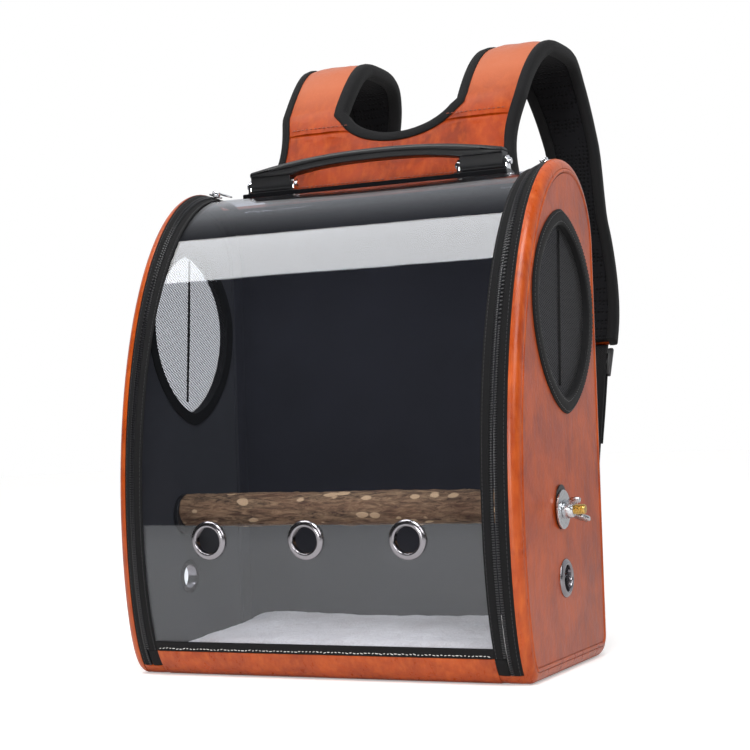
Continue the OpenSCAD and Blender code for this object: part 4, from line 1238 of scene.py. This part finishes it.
def seam_lines():
    """Lockstitch just above the lapped seam, and along the foot of the yoke."""
    for v, n, inset, tag in ((SEAM_V + 4.5, 7.0, 8, "lap"), (9.0, 6.4, 2, "foot")):
        lo = neck_edge(v) + inset
        for name, side in SIDES:
            line = [(side * (lo + (yoke_half(v) - 9 - lo) * k / 20), *yoke_pt(v, n))
                    for k in range(21)]
            stitches(f"yoke_stitches_{tag}_{name}", line, [(0, *LEAN_OUT)] * 21, ORANGE_THREAD,
                     "leather", 4.2, 3.0, 0.8)


# ---------------------------------------------------------------- webbing, tabs and adjusters

END = strap_line()[-1]
DOWN = (-sin(radians(FALL)), -cos(radians(FALL)))
OUT = (cos(radians(FALL)), -sin(radians(FALL)))
END_X = strap_mid(1)
TAB_X = END_X + 14
WEB_LEN = (END[0] - 105 - 8) / sin(radians(FALL))


def web_pt(x, s, lift):
    return x, END[0] + s * DOWN[0] + lift * OUT[0], END[1] + s * DOWN[1] + lift * OUT[1]


def web_run(side, s0, s1, lift, count=24, wave=0.0):
    """A run of webbing from s0 to s1 along the fall, its edges eased."""
    rings = []
    for k in range(count + 1):
        s = s0 + (s1 - s0) * k / count
        x = END_X + 14 * max(0.0, s) / WEB_LEN
        sway = lift + wave * sin(pi * k / count)
        rings.append([web_pt(x + w, s, sway + t) for w, t in
                      ((-12.5, -0.5), (-12.2, -0.8), (12.2, -0.8), (12.5, -0.5), (12.5, 0.5),
                       (12.2, 0.8), (-12.2, 0.8), (-12.5, 0.5))])
    return skin("w", on_side(side, rings))


def webbing():
    """Webbing from each strap's foot to its tab, with the free tail over the adjuster."""
    tongue = 5.7
    low, high = tongue - 3, tongue + 3
    _, tip_y, tip_z = web_pt(TAB_X, WEB_LEN, low)
    wedge = [(105.2, tip_z - 30), (105.2, tip_z + 4), (tip_y - 0.4, tip_z - 0.4),
             (108, tip_z - 30)]
    tabs = []
    for name, side in SIDES:
        tail = join("webbing_run_" + name, [web_run(side, 2, WEB_LEN, low),
                                            web_run(side, 7, 99, high, 12, 1.2)])
        fit(tail, WEBBING, "webbing", "webbing_" + name)
        tabs.append(rounded(skin("tab", on_side(side, [[(TAB_X + w, y, z) for y, z in wedge]
                                                       for w in (-15.5, 15.5)])), 0.8, 3, 30))
        adjuster(name, side, tongue)
    fit(join("webbing_tabs", tabs), LEATHER, "leather", "strap_tabs")


def adjuster(name, side, tongue):
    """Ladder buckle with two slots and a raised lip, on its short tongue of webbing."""
    parts = [block("rail", x, (tongue - 2, tongue + 2), (-32, -4), 0.9)
             for x in ((-18, -13.5), (13.5, 18))]
    parts += [block("bar", (-14.2, 14.2), (tongue - 1.9, tongue + 1.9), z, 0.9)
              for z in ((-10, -4), (-20, -15), (-32, -25))]
    buckle = join("ladder_buckle_" + name, parts)
    strip = block("buckle_tongue_" + name, (-12.5, 12.5), (tongue - 0.8, tongue + 0.8), (-5, 50),
                  0.3)
    place = Matrix.Translation(Vector((END_X, *END)) * MM) @ Matrix.Rotation(
        radians(-FALL), 4, "X")
    body = "adjuster_" + name
    fit(moved(buckle, place, side), ACETAL, "black_acetal", body, body)
    fit(moved(strip, place, side), WEBBING, "webbing", "", body)


place_camera()
bpy.ops.object.select_all(action="DESELECT")
light_the_stage()
clear_front()
zips()
window_foot()
rolled_edges()
walls()
inner_seams()
vents()
eyelets()
perch()
fastenings()
handle()
sliders()
back_pads()
floor_mat()
harness()
webbing()

bpy.context.scene.view_settings.view_transform = "Standard"
